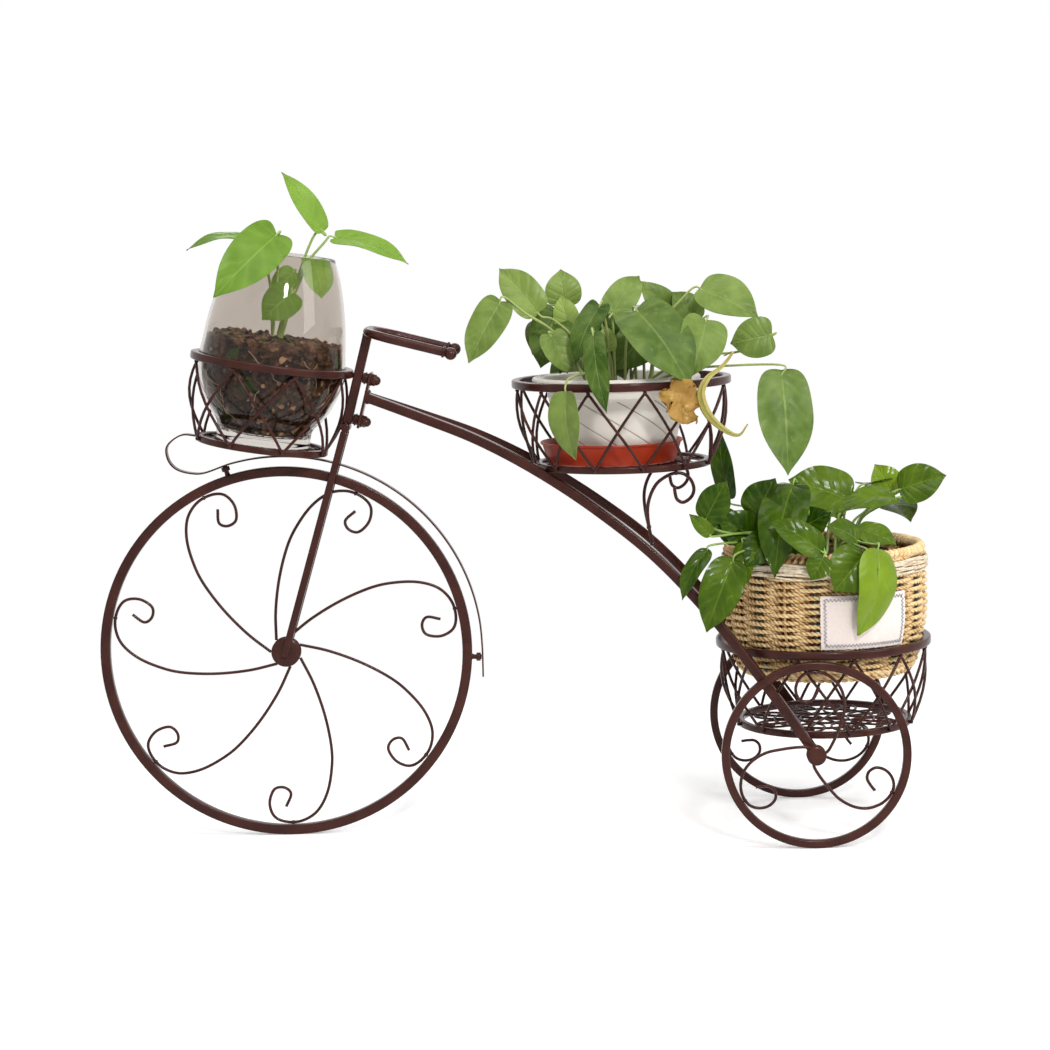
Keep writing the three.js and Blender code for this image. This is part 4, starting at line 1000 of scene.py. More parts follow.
lip_radius, lip_height = vase_curve[-1]
lip = [(lip_radius - 0.5, lip_height + 1), (lip_radius - vase_wall / 2, lip_height + 1.4)]
lip.append((lip_radius - vase_wall + 0.5, lip_height + 1))
inside_edge = vase_inside[0][0]
inside_foot = [(inside_edge - 3, glass_floor + 1.6), (inside_edge - 9, glass_floor + 0.3), (0, glass_floor)]
outside_foot = [(0, 0.8), (44, 0.8), (48, 0)]
vase_shell = [*outside_foot, *vase_curve, *lip, *reversed(vase_inside), *inside_foot]
tree, shader, add = new_finish("glass")
smoke = mix_colours(tree, add, object_noise(tree, add, 9, 2), (0.66, 0.615, 0.565), (0.71, 0.665, 0.62))
tree.links.new(smoke, shader.inputs["Base Color"])
shader.inputs["Roughness"].default_value = 0.02
shader.inputs["IOR"].default_value = 1.25
shader.inputs["Transmission Weight"].default_value = 1
roughen(tree, add, shader, object_noise(tree, add, 16, 1), 1.2 * mm, 0.12)
lamp_path = add("ShaderNodeLightPath")
through = add("ShaderNodeBsdfTransparent", Color=(0.86, 0.82, 0.8, 1))
pane = add("ShaderNodeMixShader")
tree.links.new(lamp_path.outputs["Is Shadow Ray"], pane.inputs[0])
tree.links.new(shader.outputs[0], pane.inputs[1])
tree.links.new(through.outputs[0], pane.inputs[2])
tree.links.new(pane.outputs[0], tree.nodes["Material Output"].inputs["Surface"])
vase = turned("blown_vase", in_mm(vase_shell), vase_place, 128, smooth_angle=60)
hand_over(vase, "vase", "glass", ["glass_vase"])
print("vase", lip_height, "mm high, widest", max(r for r, z in vase_curve), "mm")

# %% [markdown]
# Potting compost is dark, with crumbs of bark and peat, and a little moss. A turned plug gives the
# body, its points are pushed about by noise for the uneven top, and a handful of dented lumps lies
# on it. Cells of different browns draw the crumbs that press against the glass. The top has dried to
# a paler brown: each point's tone says how near it lies to the top.

# %% Compost
def paint_tone(piece, tones):
    """Writes a tone for each point, from 0 for dark to 1 for pale."""
    layer = piece.data.attributes.new("tone", "FLOAT", "POINT")
    layer.data.foreach_set("value", tones)


tree, shader, add = new_finish("soil")
crumb_place = add("ShaderNodeTexCoord")
crumb_cells = add("ShaderNodeTexVoronoi", Scale=230)
tree.links.new(crumb_place.outputs["Object"], crumb_cells.inputs["Vector"])
crumb_tone = add("ShaderNodeSeparateColor")
tree.links.new(crumb_cells.outputs["Color"], crumb_tone.inputs[0])
compost_browns = [(0, (0.006, 0.003, 0.001)), (0.45, (0.02, 0.01, 0.005)), (0.75, (0.05, 0.024, 0.011)),
                  (0.94, (0.11, 0.052, 0.022)), (1, (0.34, 0.22, 0.12))]
browns = colour_ramp(tree, add, crumb_tone.outputs[0], compost_browns)
dryness = add("ShaderNodeAttribute", attribute_name="tone")
dry_patches = sharpen(tree, add, object_noise(tree, add, 75, 5), 0.42, 0.62)
dry_share = calc(tree, add, "MULTIPLY", dryness.outputs["Fac"], dry_patches)
dried = mix_colours(tree, add, dry_share, browns, (0.16, 0.095, 0.06))
moss_share = sharpen(tree, add, object_noise(tree, add, 34, 3), 0.6, 0.68)
mossy = mix_colours(tree, add, moss_share, dried, (0.035, 0.06, 0.012))
tree.links.new(mossy, shader.inputs["Base Color"])
shader.inputs["Roughness"].default_value = 0.9
shader.inputs["Specular IOR Level"].default_value = 0.1
crumb_bump = roughen(tree, add, shader, object_noise(tree, add, 260, 5, 0.7), 2 * mm, 0.8)
roughen(tree, add, shader, crumb_cells.outputs["Distance"], 2.5 * mm, 0.7, crumb_bump)


def compost(name, outline, place, lumps, seed, unevenness):
    """Fills a vessel up to the outline's last point, with an uneven top and lumps on it."""
    top_radius, top_height = outline[-1]
    dry_depth = 12
    ring_shares = (0.94, 0.85, 0.75, 0.64, 0.52, 0.4, 0.27, 0.13, 0)
    rings = [(top_radius * share, top_height) for share in ring_shares]
    plug = turned(name, in_mm([(0, outline[0][1]), *outline, *rings]), None, 72, smooth_angle=80)
    for corner in plug.data.vertices:
        if corner.co.z > (top_height - 0.01) * mm:
            reach = corner.co.xy.length / (top_radius * mm)
            swell = noise.noise(corner.co * 60 + Vector((seed, 0, 0))) + 0.5 * noise.noise(corner.co * 150)
            corner.co.z += unevenness * mm * (swell - 0.4 * reach**4)
    shaker = random.Random(seed)
    parts = [plug]
    for i in range(lumps):
        angle = shaker.uniform(0, full_turn)
        reach = top_radius * math.sqrt(shaker.random()) * 0.93
        size = shaker.uniform(1.6, 4.6)
        height = top_height + shaker.uniform(-0.6, 0.3) * size
        spot = ring_point(reach, angle, height) * mm
        bpy.ops.mesh.primitive_ico_sphere_add(subdivisions=2, radius=size * mm, location=spot)
        clod = bpy.context.object
        for corner in clod.data.vertices:
            corner.co *= shaker.uniform(0.75, 1.1)
        clod.scale = [shaker.uniform(0.6, 1.2) for axis in range(3)]
        settle(clod)
        parts.append(clod)
    soil = join(name, parts)
    paint_tone(soil, [1 + (corner.co.z / mm - top_height) / dry_depth for corner in soil.data.vertices])
    settle(soil, place)
    soften(soil, 80)
    return soil


soil_gap = 0.9
vase_soil_top = 119
soil_side = [(inside_foot[0][0] - 4, glass_floor + 1.2)]
soil_side += [(r - soil_gap, z) for r, z in vase_inside if z < vase_soil_top]
soil_side.append((radius_at(vase_inside, vase_soil_top) - soil_gap, vase_soil_top))
vase_soil = compost("vase_compost", soil_side, vase_place, lumps=90, seed=5, unevenness=7)
hand_over(vase_soil, "vase", "soil", ["vase_soil"])
print("compost in the vase", round(vase_soil_top - glass_floor), "mm deep")

# %% [markdown]
# Thin roots, paler than the compost, run down between it and the glass. Each is a short wandering
# line that follows the inside of the glass.

# %% Roots
mottled_finish("root", (0.2, 0.13, 0.07), (0.42, 0.33, 0.2), (120, 3), 0.8)
root_width = 0.9
root_count = 26
root_steps = 9
root_stop = glass_floor + 8
root_walk = random.Random(12)
roots = []
for i in range(root_count):
    angle = root_walk.uniform(0, full_turn)
    height = root_walk.uniform(48, 112)
    drift = root_walk.uniform(-0.09, 0.09)
    line = []
    for step in range(root_steps):
        reach = radius_at(vase_inside, height) - soil_gap + 0.05
        line.append(ring_point(reach, angle, height) * mm)
        angle += drift + root_walk.uniform(-0.05, 0.05)
        height -= root_walk.uniform(1, 6)
        if height < root_stop:
            break
    roots.append(wire("root", bend(line, steps=3), root_width * mm))
vase_roots = join("vase_roots", roots)
settle(vase_roots, vase_place)
hand_over(vase_roots, "vase", "root")
print("roots", len(roots))

# %% [markdown]
# The saucer is moulded plastic in terracotta orange, with a small rolled rim. The pot is glazed
# stoneware in a warm off-white, with a thick lip and thin slanted grooves pressed round its side.
# Both are turned. The grooves are far finer than the mesh, so the glaze's own bump draws them, and a
# darker colour along them is painted shade: a value that grows with the angle round the pot and with
# the height makes a slanted line each time that it passes a whole number.

# %% Saucer and pot
saucer_place = stands_at("saucer")
saucer_outline = [(0, 1), (62, 1), (65, 0), (70.5, 0), (72, 0.9), (78, 20.6), (79.6, 21.6), (80.4, 22.8),
                  (80, 24), (78.4, 24.2), (76.9, 23.2), (75.6, 20.6), (70.4, 3.6), (69, 2.5), (0, 2.5)]
clay = mottled_finish(
    "terracotta", (0.3, 0.021, 0.004), (0.37, 0.032, 0.007), (24, 4), 0.42, bumps=(500, 2, 0.2, 0.3)
)
clay.inputs["Specular IOR Level"].default_value = 0.25
saucer = turned("rolled_saucer", in_mm(saucer_outline), saucer_place, 128)
hand_over(saucer, "saucer_body", "terracotta", ["saucer"])

pot_place = stands_at("ceramic_pot")
pot_height = 94
pot_outline = [(0, 1), (56, 1), (58, 0), (61, 0), (62.6, 1.6), (67.5, 25), (72, 47), (76.4, 69.6), (76.9, 71),
               (77.6, 71.8), (78.2, 84), (80, 86), (91.5, 86.2), (93.6, 87), (94.6, 89.2), (94.4, 91.8),
               (93.2, 93.4), (91, pot_height), (84, 93.4), (81.4, 92), (79, 88), (73, 80), (68.5, 57),
               (60, 14), (57, 7), (53, 5), (0, 5)]
tree, shader, add = new_finish("glaze")
glaze_place = add("ShaderNodeTexCoord")
about_axis = add("ShaderNodeVectorMath", operation="SUBTRACT")
about_axis.inputs[1].default_value = pot_place.translation
tree.links.new(glaze_place.outputs["Object"], about_axis.inputs[0])
pot_axes = add("ShaderNodeSeparateXYZ")
tree.links.new(about_axis.outputs[0], pot_axes.inputs[0])
groove_count = 11
groove_climb = 40
groove_top = 69 * mm
around_pot = calc(tree, add, "ARCTAN2", pot_axes.outputs["Y"], pot_axes.outputs["X"])
slant = calc(tree, add, "MULTIPLY", around_pot, groove_count / full_turn)
slant = calc(tree, add, "ADD", slant, calc(tree, add, "MULTIPLY", pot_axes.outputs["Z"], groove_climb))
off_line = calc(tree, add, "PINGPONG", slant, 0.5)
groove = sharpen(tree, add, off_line, 0.016, 0.04)
below_lip = calc(tree, add, "LESS_THAN", pot_axes.outputs["Z"], groove_top)
groove = calc(tree, add, "MAXIMUM", groove, calc(tree, add, "SUBTRACT", 1, below_lip))
glaze_tone = mix_colours(tree, add, object_noise(tree, add, 14, 4), (0.66, 0.6, 0.53), (0.76, 0.715, 0.65))
# Along the grooves the glaze is painted a darker brown, as painted shade, besides their bump.
glaze_and_groove_shade = mix_colours(tree, add, groove, (0.36, 0.31, 0.26), glaze_tone)
tree.links.new(glaze_and_groove_shade, shader.inputs["Base Color"])
shader.inputs["Roughness"].default_value = 0.38
roughen(tree, add, shader, groove, 1.2 * mm, 0.6)
pot = turned("lipped_pot", in_mm(pot_outline), pot_place, 160)
hand_over(pot, "pot", "glaze", ["ceramic_pot"])
pot_sides = [(61.5, 24), (72.4, 79)]
pot_soil = compost("pot_compost", pot_sides, pot_place, lumps=60, seed=8, unevenness=5)
hand_over(pot_soil, "pot", "soil", ["pot_soil"])
print("pot", pot_height, "mm high, saucer", round(extent("saucer").z / mm), "mm")

# %% [markdown]
# The straw basket is woven from twisted straw rope over upright cords: each course passes over one
# upright and behind the next, and its neighbour does the opposite. A bump could only hint at that
# depth, so every course is a real rope. A rope's section has two lobes, and its curve turns it
# steadily as it goes round, which gives the twist of two strands.

# %% Straw rope
straw_place = stands_at("straw_basket")
straw_height = 145
straw_outline = [(95, 0), (101, 7), (105.5, 15), (109, 30), (110.5, 39), (113, 50), (115.4, 63), (116, 76),
                 (115.8, 95), (115, 120), (114, 140), (113.5, straw_height)]
tree, shader, add = new_finish("straw")
# The rope's tone holds random stretches of paler and darker straw, and painted shade between strands and deep
# in the weave.
straw_tone = add("ShaderNodeAttribute", attribute_name="tone")
straw_browns = [(0, (0.05, 0.022, 0.006)), (0.24, (0.34, 0.18, 0.06)), (0.5, (0.78, 0.54, 0.26)),
                (1, (1, 0.86, 0.58))]
fibre_tone = sharpen(tree, add, object_noise(tree, add, 90, 5, 0.7), 0.25, 0.75)
both_tones = calc(tree, add, "ADD", straw_tone.outputs["Fac"], fibre_tone)
shade_share = calc(tree, add, "MULTIPLY", both_tones, 0.5)
tree.links.new(colour_ramp(tree, add, shade_share, straw_browns), shader.inputs["Base Color"])
shader.inputs["Roughness"].default_value = 0.75
shader.inputs["Specular IOR Level"].default_value = 0.3
roughen(tree, add, shader, object_noise(tree, add, 700, 4, 0.7), 0.9 * mm, 0.6)
for name, first, second in (("cord_green", (0.012, 0.045, 0.04), (0.03, 0.09, 0.08)),
                            ("raffia", (0.62, 0.5, 0.34), (0.85, 0.76, 0.6))):
    mottled_finish(name, first, second, (150, 4), 0.7, bumps=(600, 3, 0.5, 0.5), limits=(0.35, 0.65))


def lobed_section(name, width, thickness, points=8):
    """Makes the section of a rope of two strands: wide across both, narrow between them."""
    outline = []
    for i in range(points):
        angle = i / points * full_turn
        reach = thickness / 2 + (width - thickness) / 2 * abs(math.cos(angle)) ** 1.5
        outline.append((reach * math.cos(angle), reach * math.sin(angle)))
    return section_curve(name, in_mm(outline))


def rope_ring(name, line, section, twists, tone_seed, section_points=8, shade_depths=None):
    """Makes a closed rope with a steady twist. The tone changes from stretch to stretch, and is painted
    darker between the strands and where the rope lies deep in the weave, as painted shade."""
    rope = wire(name, line, 0, closed=True, section=section, twist="Z_UP", turns=twists)
    shaker = random.Random(tone_seed)
    stretch_count = max(8, twists // 4)
    stretches = [shaker.random() for i in range(stretch_count)]
    rings = len(rope.data.vertices) // section_points
    tones = []
    for ring in range(rings):
        place = ring / rings * stretch_count
        here = stretches[int(place) % stretch_count]
        there = stretches[(int(place) + 1) % stretch_count]
        tone = 0.35 + 0.55 * (here + (there - here) * (place % 1))
        # Where the rope lies deep behind an upright, its tone is painted darker as painted shade.
        if shade_depths:
            tone -= 0.9 * shade_depths[ring * len(shade_depths) // rings]
        for point in range(section_points):
            # Between the two strands the tone is painted darker, as painted shade in the groove.
            groove_shade = (1 - abs(math.cos(point / section_points * full_turn))) ** 2
            tones.append(tone - 0.6 * groove_shade)
    paint_tone(rope, tones)
    return rope


# %% Woven courses
rope_width = 5.4
rope_thickness = 3.4
weave_depth = 2.9
upright_count = 20
twist_length = 11.5
course_low = 9
course_high = 135
course_pitch = 4
course_steps = 520
sway_count = 24
course_section = lobed_section("course_section", rope_width, rope_thickness)
first_upright = math.radians(-100.3)
hand_sway = random.Random(7)
courses = []
for height in range(course_low, course_high, course_pitch):
    middle_radius = radius_at(straw_outline, height) - rope_width / 2 - weave_depth
    phase = math.pi * (len(courses) % 2)
    sway = [hand_sway.uniform(-0.5, 0.5) for i in range(sway_count)]
    line = []
    shade_depths = []
    for step in range(course_steps):
        angle = step / course_steps * full_turn
        knot = step / course_steps * sway_count
        here = sway[int(knot)]
        there = sway[(int(knot) + 1) % sway_count]
        lift = here + (there - here) * (knot % 1)
        out = math.cos(upright_count / 2 * (angle - first_upright) + phase)
        # How deep the rope lies behind an upright sets its painted shade.
        shade_depths.append(max(0, -out) ** 2)
        radius = middle_radius + weave_depth * out + 0.4 * lift
        line.append(ring_point(radius, angle, height + lift) * mm)
    twists = round(full_turn * middle_radius / twist_length)
    courses.append(rope_ring("course", line, course_section, twists, len(courses), shade_depths=shade_depths))
half = len(courses) // 2
for name, part in (("straw_courses_low", courses[:half]), ("straw_courses_high", courses[half:])):
    weave = join(name, part)
    settle(weave, straw_place)
    hand_over(weave, "straw", "straw", ["straw_basket"])
bpy.data.objects.remove(course_section)
print("courses", len(courses))

# %% [markdown]
# The uprights show between the courses as short dashes. Every other one and two more are dark green
# cord, and the rest are straw. Behind them a thin lining closes the gaps, painted in the darkest straw
# tone as painted shade, as dark as the shaded inner windings look. The bottom edge is two thicker
# ropes, and the floor is rope wound in rings.

# %% Uprights, lining and floor
straw_rise = [2, 12, 24, 38, 50, 63, 76, 95, 115, 132]
upright_width = 3.2
uprights = {"straw": [], "cord_green": []}
for i in range(upright_count):
    angle = first_upright + i / upright_count * full_turn
    line = []
    for height in straw_rise:
        reach = radius_at(straw_outline, height) - rope_width / 2 - weave_depth
        line.append(ring_point(reach, angle, height) * mm)
    kind = "cord_green" if i % 2 == 0 or i % 10 == 3 else "straw"
    uprights[kind].append(wire("upright", bend(line, steps=2), upright_width * mm))
for kind, rods in uprights.items():
    frame_rods = join(f"basket_uprights_{kind}", rods)
    settle(frame_rods, straw_place)
    paint_tone(frame_rods, [0.35] * len(frame_rods.data.vertices))
    hand_over(frame_rods, "straw", kind)

lining_depth = 7.4
lining_wall = 0.8
lining_floor = 4
lining_outside = [(radius_at(straw_outline, height) - lining_depth, height) for height in straw_rise]
lining_inside = [(radius - lining_wall, height) for radius, height in reversed(lining_outside)]
lining_outline = [(0, lining_floor), *lining_outside, *lining_inside, (0, lining_floor + lining_wall)]
lining = turned("basket_lining", in_mm(lining_outline), straw_place, 96)
# The lining gets the darkest tone, as painted shade behind the weave.
paint_tone(lining, [0.0] * len(lining.data.vertices))
hand_over(lining, "straw", "straw")

edge_section = lobed_section("edge_section", 8.2, 5.6)
edges = []
for radius, height in ((92.5, 3.4), (97.5, 8)):
    line = circle_line(radius * mm, height * mm, 260)
    edges.append(rope_ring("edge", line, edge_section, 34, 90 + round(radius)))
floor_ring_count = 14
floor_radius = 87
floor_pitch = 6.2
floor_height = 3
floor_section = lobed_section("floor_section", 6, 4.2)
for i in range(floor_ring_count):
    radius = floor_radius - floor_pitch * i
    line = circle_line(radius * mm, floor_height * mm, max(24, round(radius * 2.2)))
    edges.append(rope_ring("floor_rope", line, floor_section, max(3, round(radius / 3)), 120 + i))
bottom = join("straw_bottom", edges)
settle(bottom, straw_place)
hand_over(bottom, "straw", "straw")
bpy.data.objects.remove(floor_section)
bpy.data.objects.remove(edge_section)
print("uprights", upright_count, "bottom ropes", len(edges))

# %% [markdown]
# The rim is bound: a straw rope is wound in a close coil round the last courses. Its line is a helix
# bent into a ring. Under it lies a band of raffia: pale flat strips wound loosely round, so each
# wanders up and down and crosses its neighbours.

# %% Bound rim and raffia
rim_middle = 138.6
rim_radius = 107.4
wrap_half_width = 3.5
wrap_half_height = 4.4
wrap_count = 94
wrap_steps = 11
rim_section = lobed_section("rim_section", 6.4, 4.4, 6)
line = []
for step in range(wrap_count * wrap_steps):
    angle = step / (wrap_count * wrap_steps) * full_turn
    wrap = step / wrap_steps * full_turn
    loose = 0.35 * noise.noise(ring_point(1, angle, 0) * 20)
    reach = rim_radius + (wrap_half_width + loose) * math.cos(wrap)
    lift = rim_middle + (wrap_half_height + loose) * math.sin(wrap)
    line.append(ring_point(reach, angle, lift) * mm)
bound = rope_ring("bound_rim", line, rim_section, 0, 150, 6)
settle(bound, straw_place)
hand_over(bound, "straw", "straw")
bpy.data.objects.remove(rim_section)

raffia_walk = random.Random(21)
strips = []
strip_knots = 17
strip_count = 11
strip_low = 119.5
strip_pitch = 1.15
for i in range(strip_count):
    strip_width = raffia_walk.uniform(1.6, 3.8) * mm
    strip_section = section_curve("strip_section", rounded_square(0.9 * mm, strip_width, 0.3 * mm, 1))
    base_height = strip_low + i * strip_pitch
    sway = [raffia_walk.uniform(-3.2, 3.2) for knot in range(strip_knots)]
    bulge = [raffia_walk.uniform(0, 2.6) for knot in range(strip_knots)]
    line = []
    for knot in range(strip_knots):
        angle = knot / strip_knots * full_turn + i
        height = base_height + sway[knot]
        reach = radius_at(straw_outline, height) - 1.2 + bulge[knot]
        line.append(ring_point(reach, angle, height) * mm)
    strip_line = bend(line, closed=True, steps=10)
    strip = wire("strip", strip_line, 0, closed=True, section=strip_section, twist="Z_UP", turns=i % 3)
    strips.append(strip)
    bpy.data.objects.remove(strip_section)
band = join("raffia_band", strips)
settle(band, straw_place)
hand_over(band, "straw", "raffia")
basket_sides = [(97, 42), (100.5, 128)]
basket_soil = compost("basket_compost", basket_sides, straw_place, lumps=40, seed=9, unevenness=5)
hand_over(basket_soil, "straw", "soil", ["basket_soil"])
print("rim wraps", wrap_count)

# %% [markdown]
# A small cloth label is sewn on the basket's belly. It is a sheet cut to a rectangle and stretched
# over the weave, with a hem that frays and a zigzag stitch in grey-blue thread just inside it. The
# sheet starts as a flat grid and its points are carried round the basket.

# %% Cloth label
label_width = 104
label_height = extent("label").z
label_turn = math.radians(18)
label_columns = 104
label_rows = 60
belly_radius = 116


def on_basket(across, height, lift):
    """Carries a place on the flat label, in millimetres, to the basket's side."""
    angle = -math.pi / 2 + label_turn + across / (belly_radius + lift)
    return ring_point(radius_at(straw_outline, height) + lift, angle, height) * mm


label_foot = (stands_at("label").translation.z - straw_place.translation.z) / mm
label_top = label_foot + label_height / mm
bpy.ops.mesh.primitive_grid_add(x_subdivisions=label_columns, y_subdivisions=label_rows, size=1)
label = bpy.context.object
label.name = "cloth_label"
fray = 1.6
for corner in label.data.vertices:
    x = corner.co.x
    y = corner.co.y
    across = x * label_width
    height = label_foot + (y + 0.5) * label_height / mm
    fray_x = fray * noise.noise(Vector((7, height * 0.45, 0))) if abs(x) > 0.49 else 0
    fray_y = fray * noise.noise(Vector((across * 0.45, 3, 0))) if abs(y) > 0.49 else 0
    ripple = 0.5 * noise.noise(Vector((across * 0.06, height * 0.09, 5))) + 0.5
    corner.co = on_basket(across + fray_x, height + fray_y, 0.6 + 0.9 * ripple)
thread_path = []
border = 4.6
half_width = label_width / 2 - border
half_height = label_height / mm / 2 - border
middle_height = (label_foot + label_top) / 2
seam_corners = [(half_width * x, half_height * y) for x, y in ((-1, -1), (1, -1), (1, 1), (-1, 1))]
stitch = 2.1
stitch_swing = 1.5
thread_lift = 1.9
for (from_x, from_y), (to_x, to_y) in zip(seam_corners, seam_corners[1:] + seam_corners[:1]):
    length = math.hypot(to_x - from_x, to_y - from_y)
    count = round(length / stitch)
    for i in range(count):
        share = i / count
        side = stitch_swing if i % 2 else -stitch_swing
        x = from_x + (to_x - from_x) * share + (from_y - to_y) / length * side
        y = from_y + (to_y - from_y) * share + (to_x - from_x) / length * side
        thread_path.append(on_basket(x, middle_height + y, thread_lift))
stitches = wire("label_stitches", thread_path, 0.95 * mm, closed=True)
for name, first, second, bump_scale in (("cloth", (0.72, 0.6, 0.55), (0.84, 0.75, 0.7), 1400),
                                        ("thread", (0.11, 0.15, 0.2), (0.2, 0.25, 0.32), 2600)):
    fabric = mottled_finish(name, first, second, (300, 4), 0.9, bumps=(bump_scale, 2, 0.3, 0.5))
    fabric.inputs["Sheen Weight"].default_value = 0.2
settle(label, straw_place)
settle(stitches, straw_place)
label_wall = label.modifiers.new("wall", "SOLIDIFY")
label_wall.thickness = 0.5 * mm
apply_modifiers(label)
soften(label, 60)
hand_over(label, "straw", "cloth", ["label"])
hand_over(stitches, "straw", "thread")
print("label", label_width, "x", round(label_height / mm), "mm")

# %% [markdown]
# All three plants are pothos. A leaf is a heart with a folded midrib, lobes that reach back past its
# stalk, and a long tip. A plane cut to the outline would be flat, so a leaf starts as a flat grid
# whose points are carried to the outline, folded, bowed and waved; a thin wall finishes it. Its UV
# map runs along and across the leaf, and the veins follow that map. Each row of the outline gives,
# in shares of the length, how far along the rib and the edge are, and half of the width as a share.

# %% Leaf blades
leaf_outline = [(0, 0, 0), (0.01, -0.03, 0.1), (0.03, -0.05, 0.2), (0.06, -0.05, 0.3), (0.11, -0.01, 0.39),
                (0.18, 0.07, 0.455), (0.27, 0.18, 0.49), (0.37, 0.29, 0.5), (0.48, 0.42, 0.495),
                (0.59, 0.55, 0.46), (0.69, 0.67, 0.395), (0.785, 0.775, 0.3), (0.87, 0.865, 0.185),
                (0.94, 0.938, 0.075), (1, 1, 0)]
leaf_knots = bend([Vector(row) for row in leaf_outline], steps=2)
leaf_rows = len(leaf_knots) - 1
leaf_columns = 10
leaf_wall = 0.6 * mm


def leaf_station(run, side, lobes):
    """Gives a flat leaf's point, along and across, for a run from 0 to 1 and a side from -1 to 1."""
    place = run * leaf_rows
    row = min(int(place), leaf_rows - 1)
    rib, edge, half = leaf_knots[row].lerp(leaf_knots[row + 1], place - row)
    return rib + (edge - rib) * lobes * abs(side) ** 1.6, half * side


def leaf_blade(name, base, tip, width, facing, shape, seed, tone):
    """Grows a leaf from its base to its tip, with its face turned towards a direction."""
    shaker = random.Random(seed)
    lengthwise = tip - base
    length = lengthwise.length
    lengthwise.normalize()
    normal = (facing - lengthwise * facing.dot(lengthwise)).normalized()
    sideways = lengthwise.cross(normal)
    fold, bow, curl, wave, lobes = shape
    fold *= shaker.uniform(0.6, 1.5)
    bow *= shaker.uniform(0.3, 1.6)
    lobes *= shaker.uniform(0.5, 1.4)
    phase = shaker.uniform(0, full_turn)
    bpy.ops.mesh.primitive_grid_add(x_subdivisions=leaf_columns, y_subdivisions=leaf_rows, size=1)
    leaf = bpy.context.object
    leaf.name = name
    for corner in leaf.data.vertices:
        side = corner.co.x * 2
        run = corner.co.y + 0.5
        along_rib, across = leaf_station(run, side, lobes)
        lift = bow * length * math.sin(math.pi * max(along_rib, 0))
        lift += fold * abs(across) * width - curl * width * across**2 * 2
        lift += wave * length * math.sin(along_rib * 9 + phase + 2 * side) * side**2
        corner.co = base + lengthwise * along_rib * length + sideways * across * width + normal * lift
    bpy.ops.object.mode_set(mode="EDIT")
    bpy.ops.mesh.select_all(action="SELECT")
    bpy.ops.mesh.remove_doubles(threshold=0.02 * mm)
    bpy.ops.object.mode_set(mode="OBJECT")
    wall = leaf.modifiers.new("wall", "SOLIDIFY")
    wall.thickness = leaf_wall
    wall.offset = 0
    apply_modifiers(leaf)
    soften(leaf, 70)
    paint_tone(leaf, [tone] * len(leaf.data.vertices))
    return leaf


# %% [markdown]
# A leaf's skin is waxy and glossy. The flesh between the side veins stands up in soft quilts, the
# midrib is paler, and yellowish specks and streaks run with the veins. Each plant has its own green,
# from the young yellow-green one in the vase to the old dark one in the straw basket.

# %% Leaf finishes
vein_pairs = 7
vein_sweep = 0.22
vein_paleness = 0.07
rib_width = 0.06
rib_paleness = 0.32


def leaf_finish(name, dark, light, rib_colour, roughness, mottle, patchiness=0.8):
    """Makes a leaf's skin: green between dark and light by the leaf's tone, which holds its own green and
    painted light and shade, with veins and a rib.
    """
    tree, shader, add = new_finish(name)
    leaf_map = add("ShaderNodeUVMap", uv_map="UVMap")
    axes = add("ShaderNodeSeparateXYZ")
    tree.links.new(leaf_map.outputs[0], axes.inputs[0])
    centred = calc(tree, add, "SUBTRACT", axes.outputs["X"], 0.5)
    side = calc(tree, add, "MULTIPLY", calc(tree, add, "ABSOLUTE", centred), 2)
    sweep = calc(tree, add, "MULTIPLY", calc(tree, add, "POWER", side, 0.8), vein_sweep)
    vein_place = calc(tree, add, "SUBTRACT", axes.outputs["Y"], sweep)
    wobble = object_noise(tree, add, 70, 2)
    vein_place = calc(tree, add, "ADD", vein_place, calc(tree, add, "MULTIPLY", wobble, 0.05))
    from_vein = calc(tree, add, "PINGPONG", calc(tree, add, "MULTIPLY", vein_place, vein_pairs), 0.5)
    quilt = sharpen(tree, add, from_vein, 0, 0.28)
    off_rib = sharpen(tree, add, side, 0, rib_width)
    tone = add("ShaderNodeAttribute", attribute_name="tone")
    patches = object_noise(tree, add, 42, 4)
    patch_share = calc(tree, add, "MULTIPLY", calc(tree, add, "SUBTRACT", patches, 0.5), patchiness)
    share = calc(tree, add, "ADD", tone.outputs["Fac"], patch_share)
    flesh = mix_colours(tree, add, share, dark, light)
    streaks = sharpen(tree, add, object_noise(tree, add, 130, 5, 0.65), 0.6, 0.74)
    streaks = calc(tree, add, "MULTIPLY", streaks, mottle)
    specked = mix_colours(tree, add, streaks, flesh, rib_colour)
    vein_share = calc(tree, add, "MULTIPLY", calc(tree, add, "SUBTRACT", 1, quilt), vein_paleness)
    veined = mix_colours(tree, add, vein_share, specked, rib_colour)
    rib_share = calc(tree, add, "MULTIPLY", calc(tree, add, "SUBTRACT", 1, off_rib), rib_paleness)
    ribbed = mix_colours(tree, add, rib_share, veined, rib_colour)
    tree.links.new(ribbed, shader.inputs["Base Color"])
    shader.inputs["Specular IOR Level"].default_value = 0.13
    gloss = add("ShaderNodeMapRange")
    gloss.inputs["To Min"].default_value = roughness - 0.06
    gloss.inputs["To Max"].default_value = roughness + 0.12
    tree.links.new(patches, gloss.inputs["Value"])
    tree.links.new(gloss.outputs[0], shader.inputs["Roughness"])
    relief = calc(tree, add, "ADD", calc(tree, add, "MULTIPLY", quilt, 0.6), off_rib)
    quilted = roughen(tree, add, shader, relief, 1.1 * mm, 0.5)
    roughen(tree, add, shader, object_noise(tree, add, 90, 1), 1.2 * mm, 0.25, quilted)


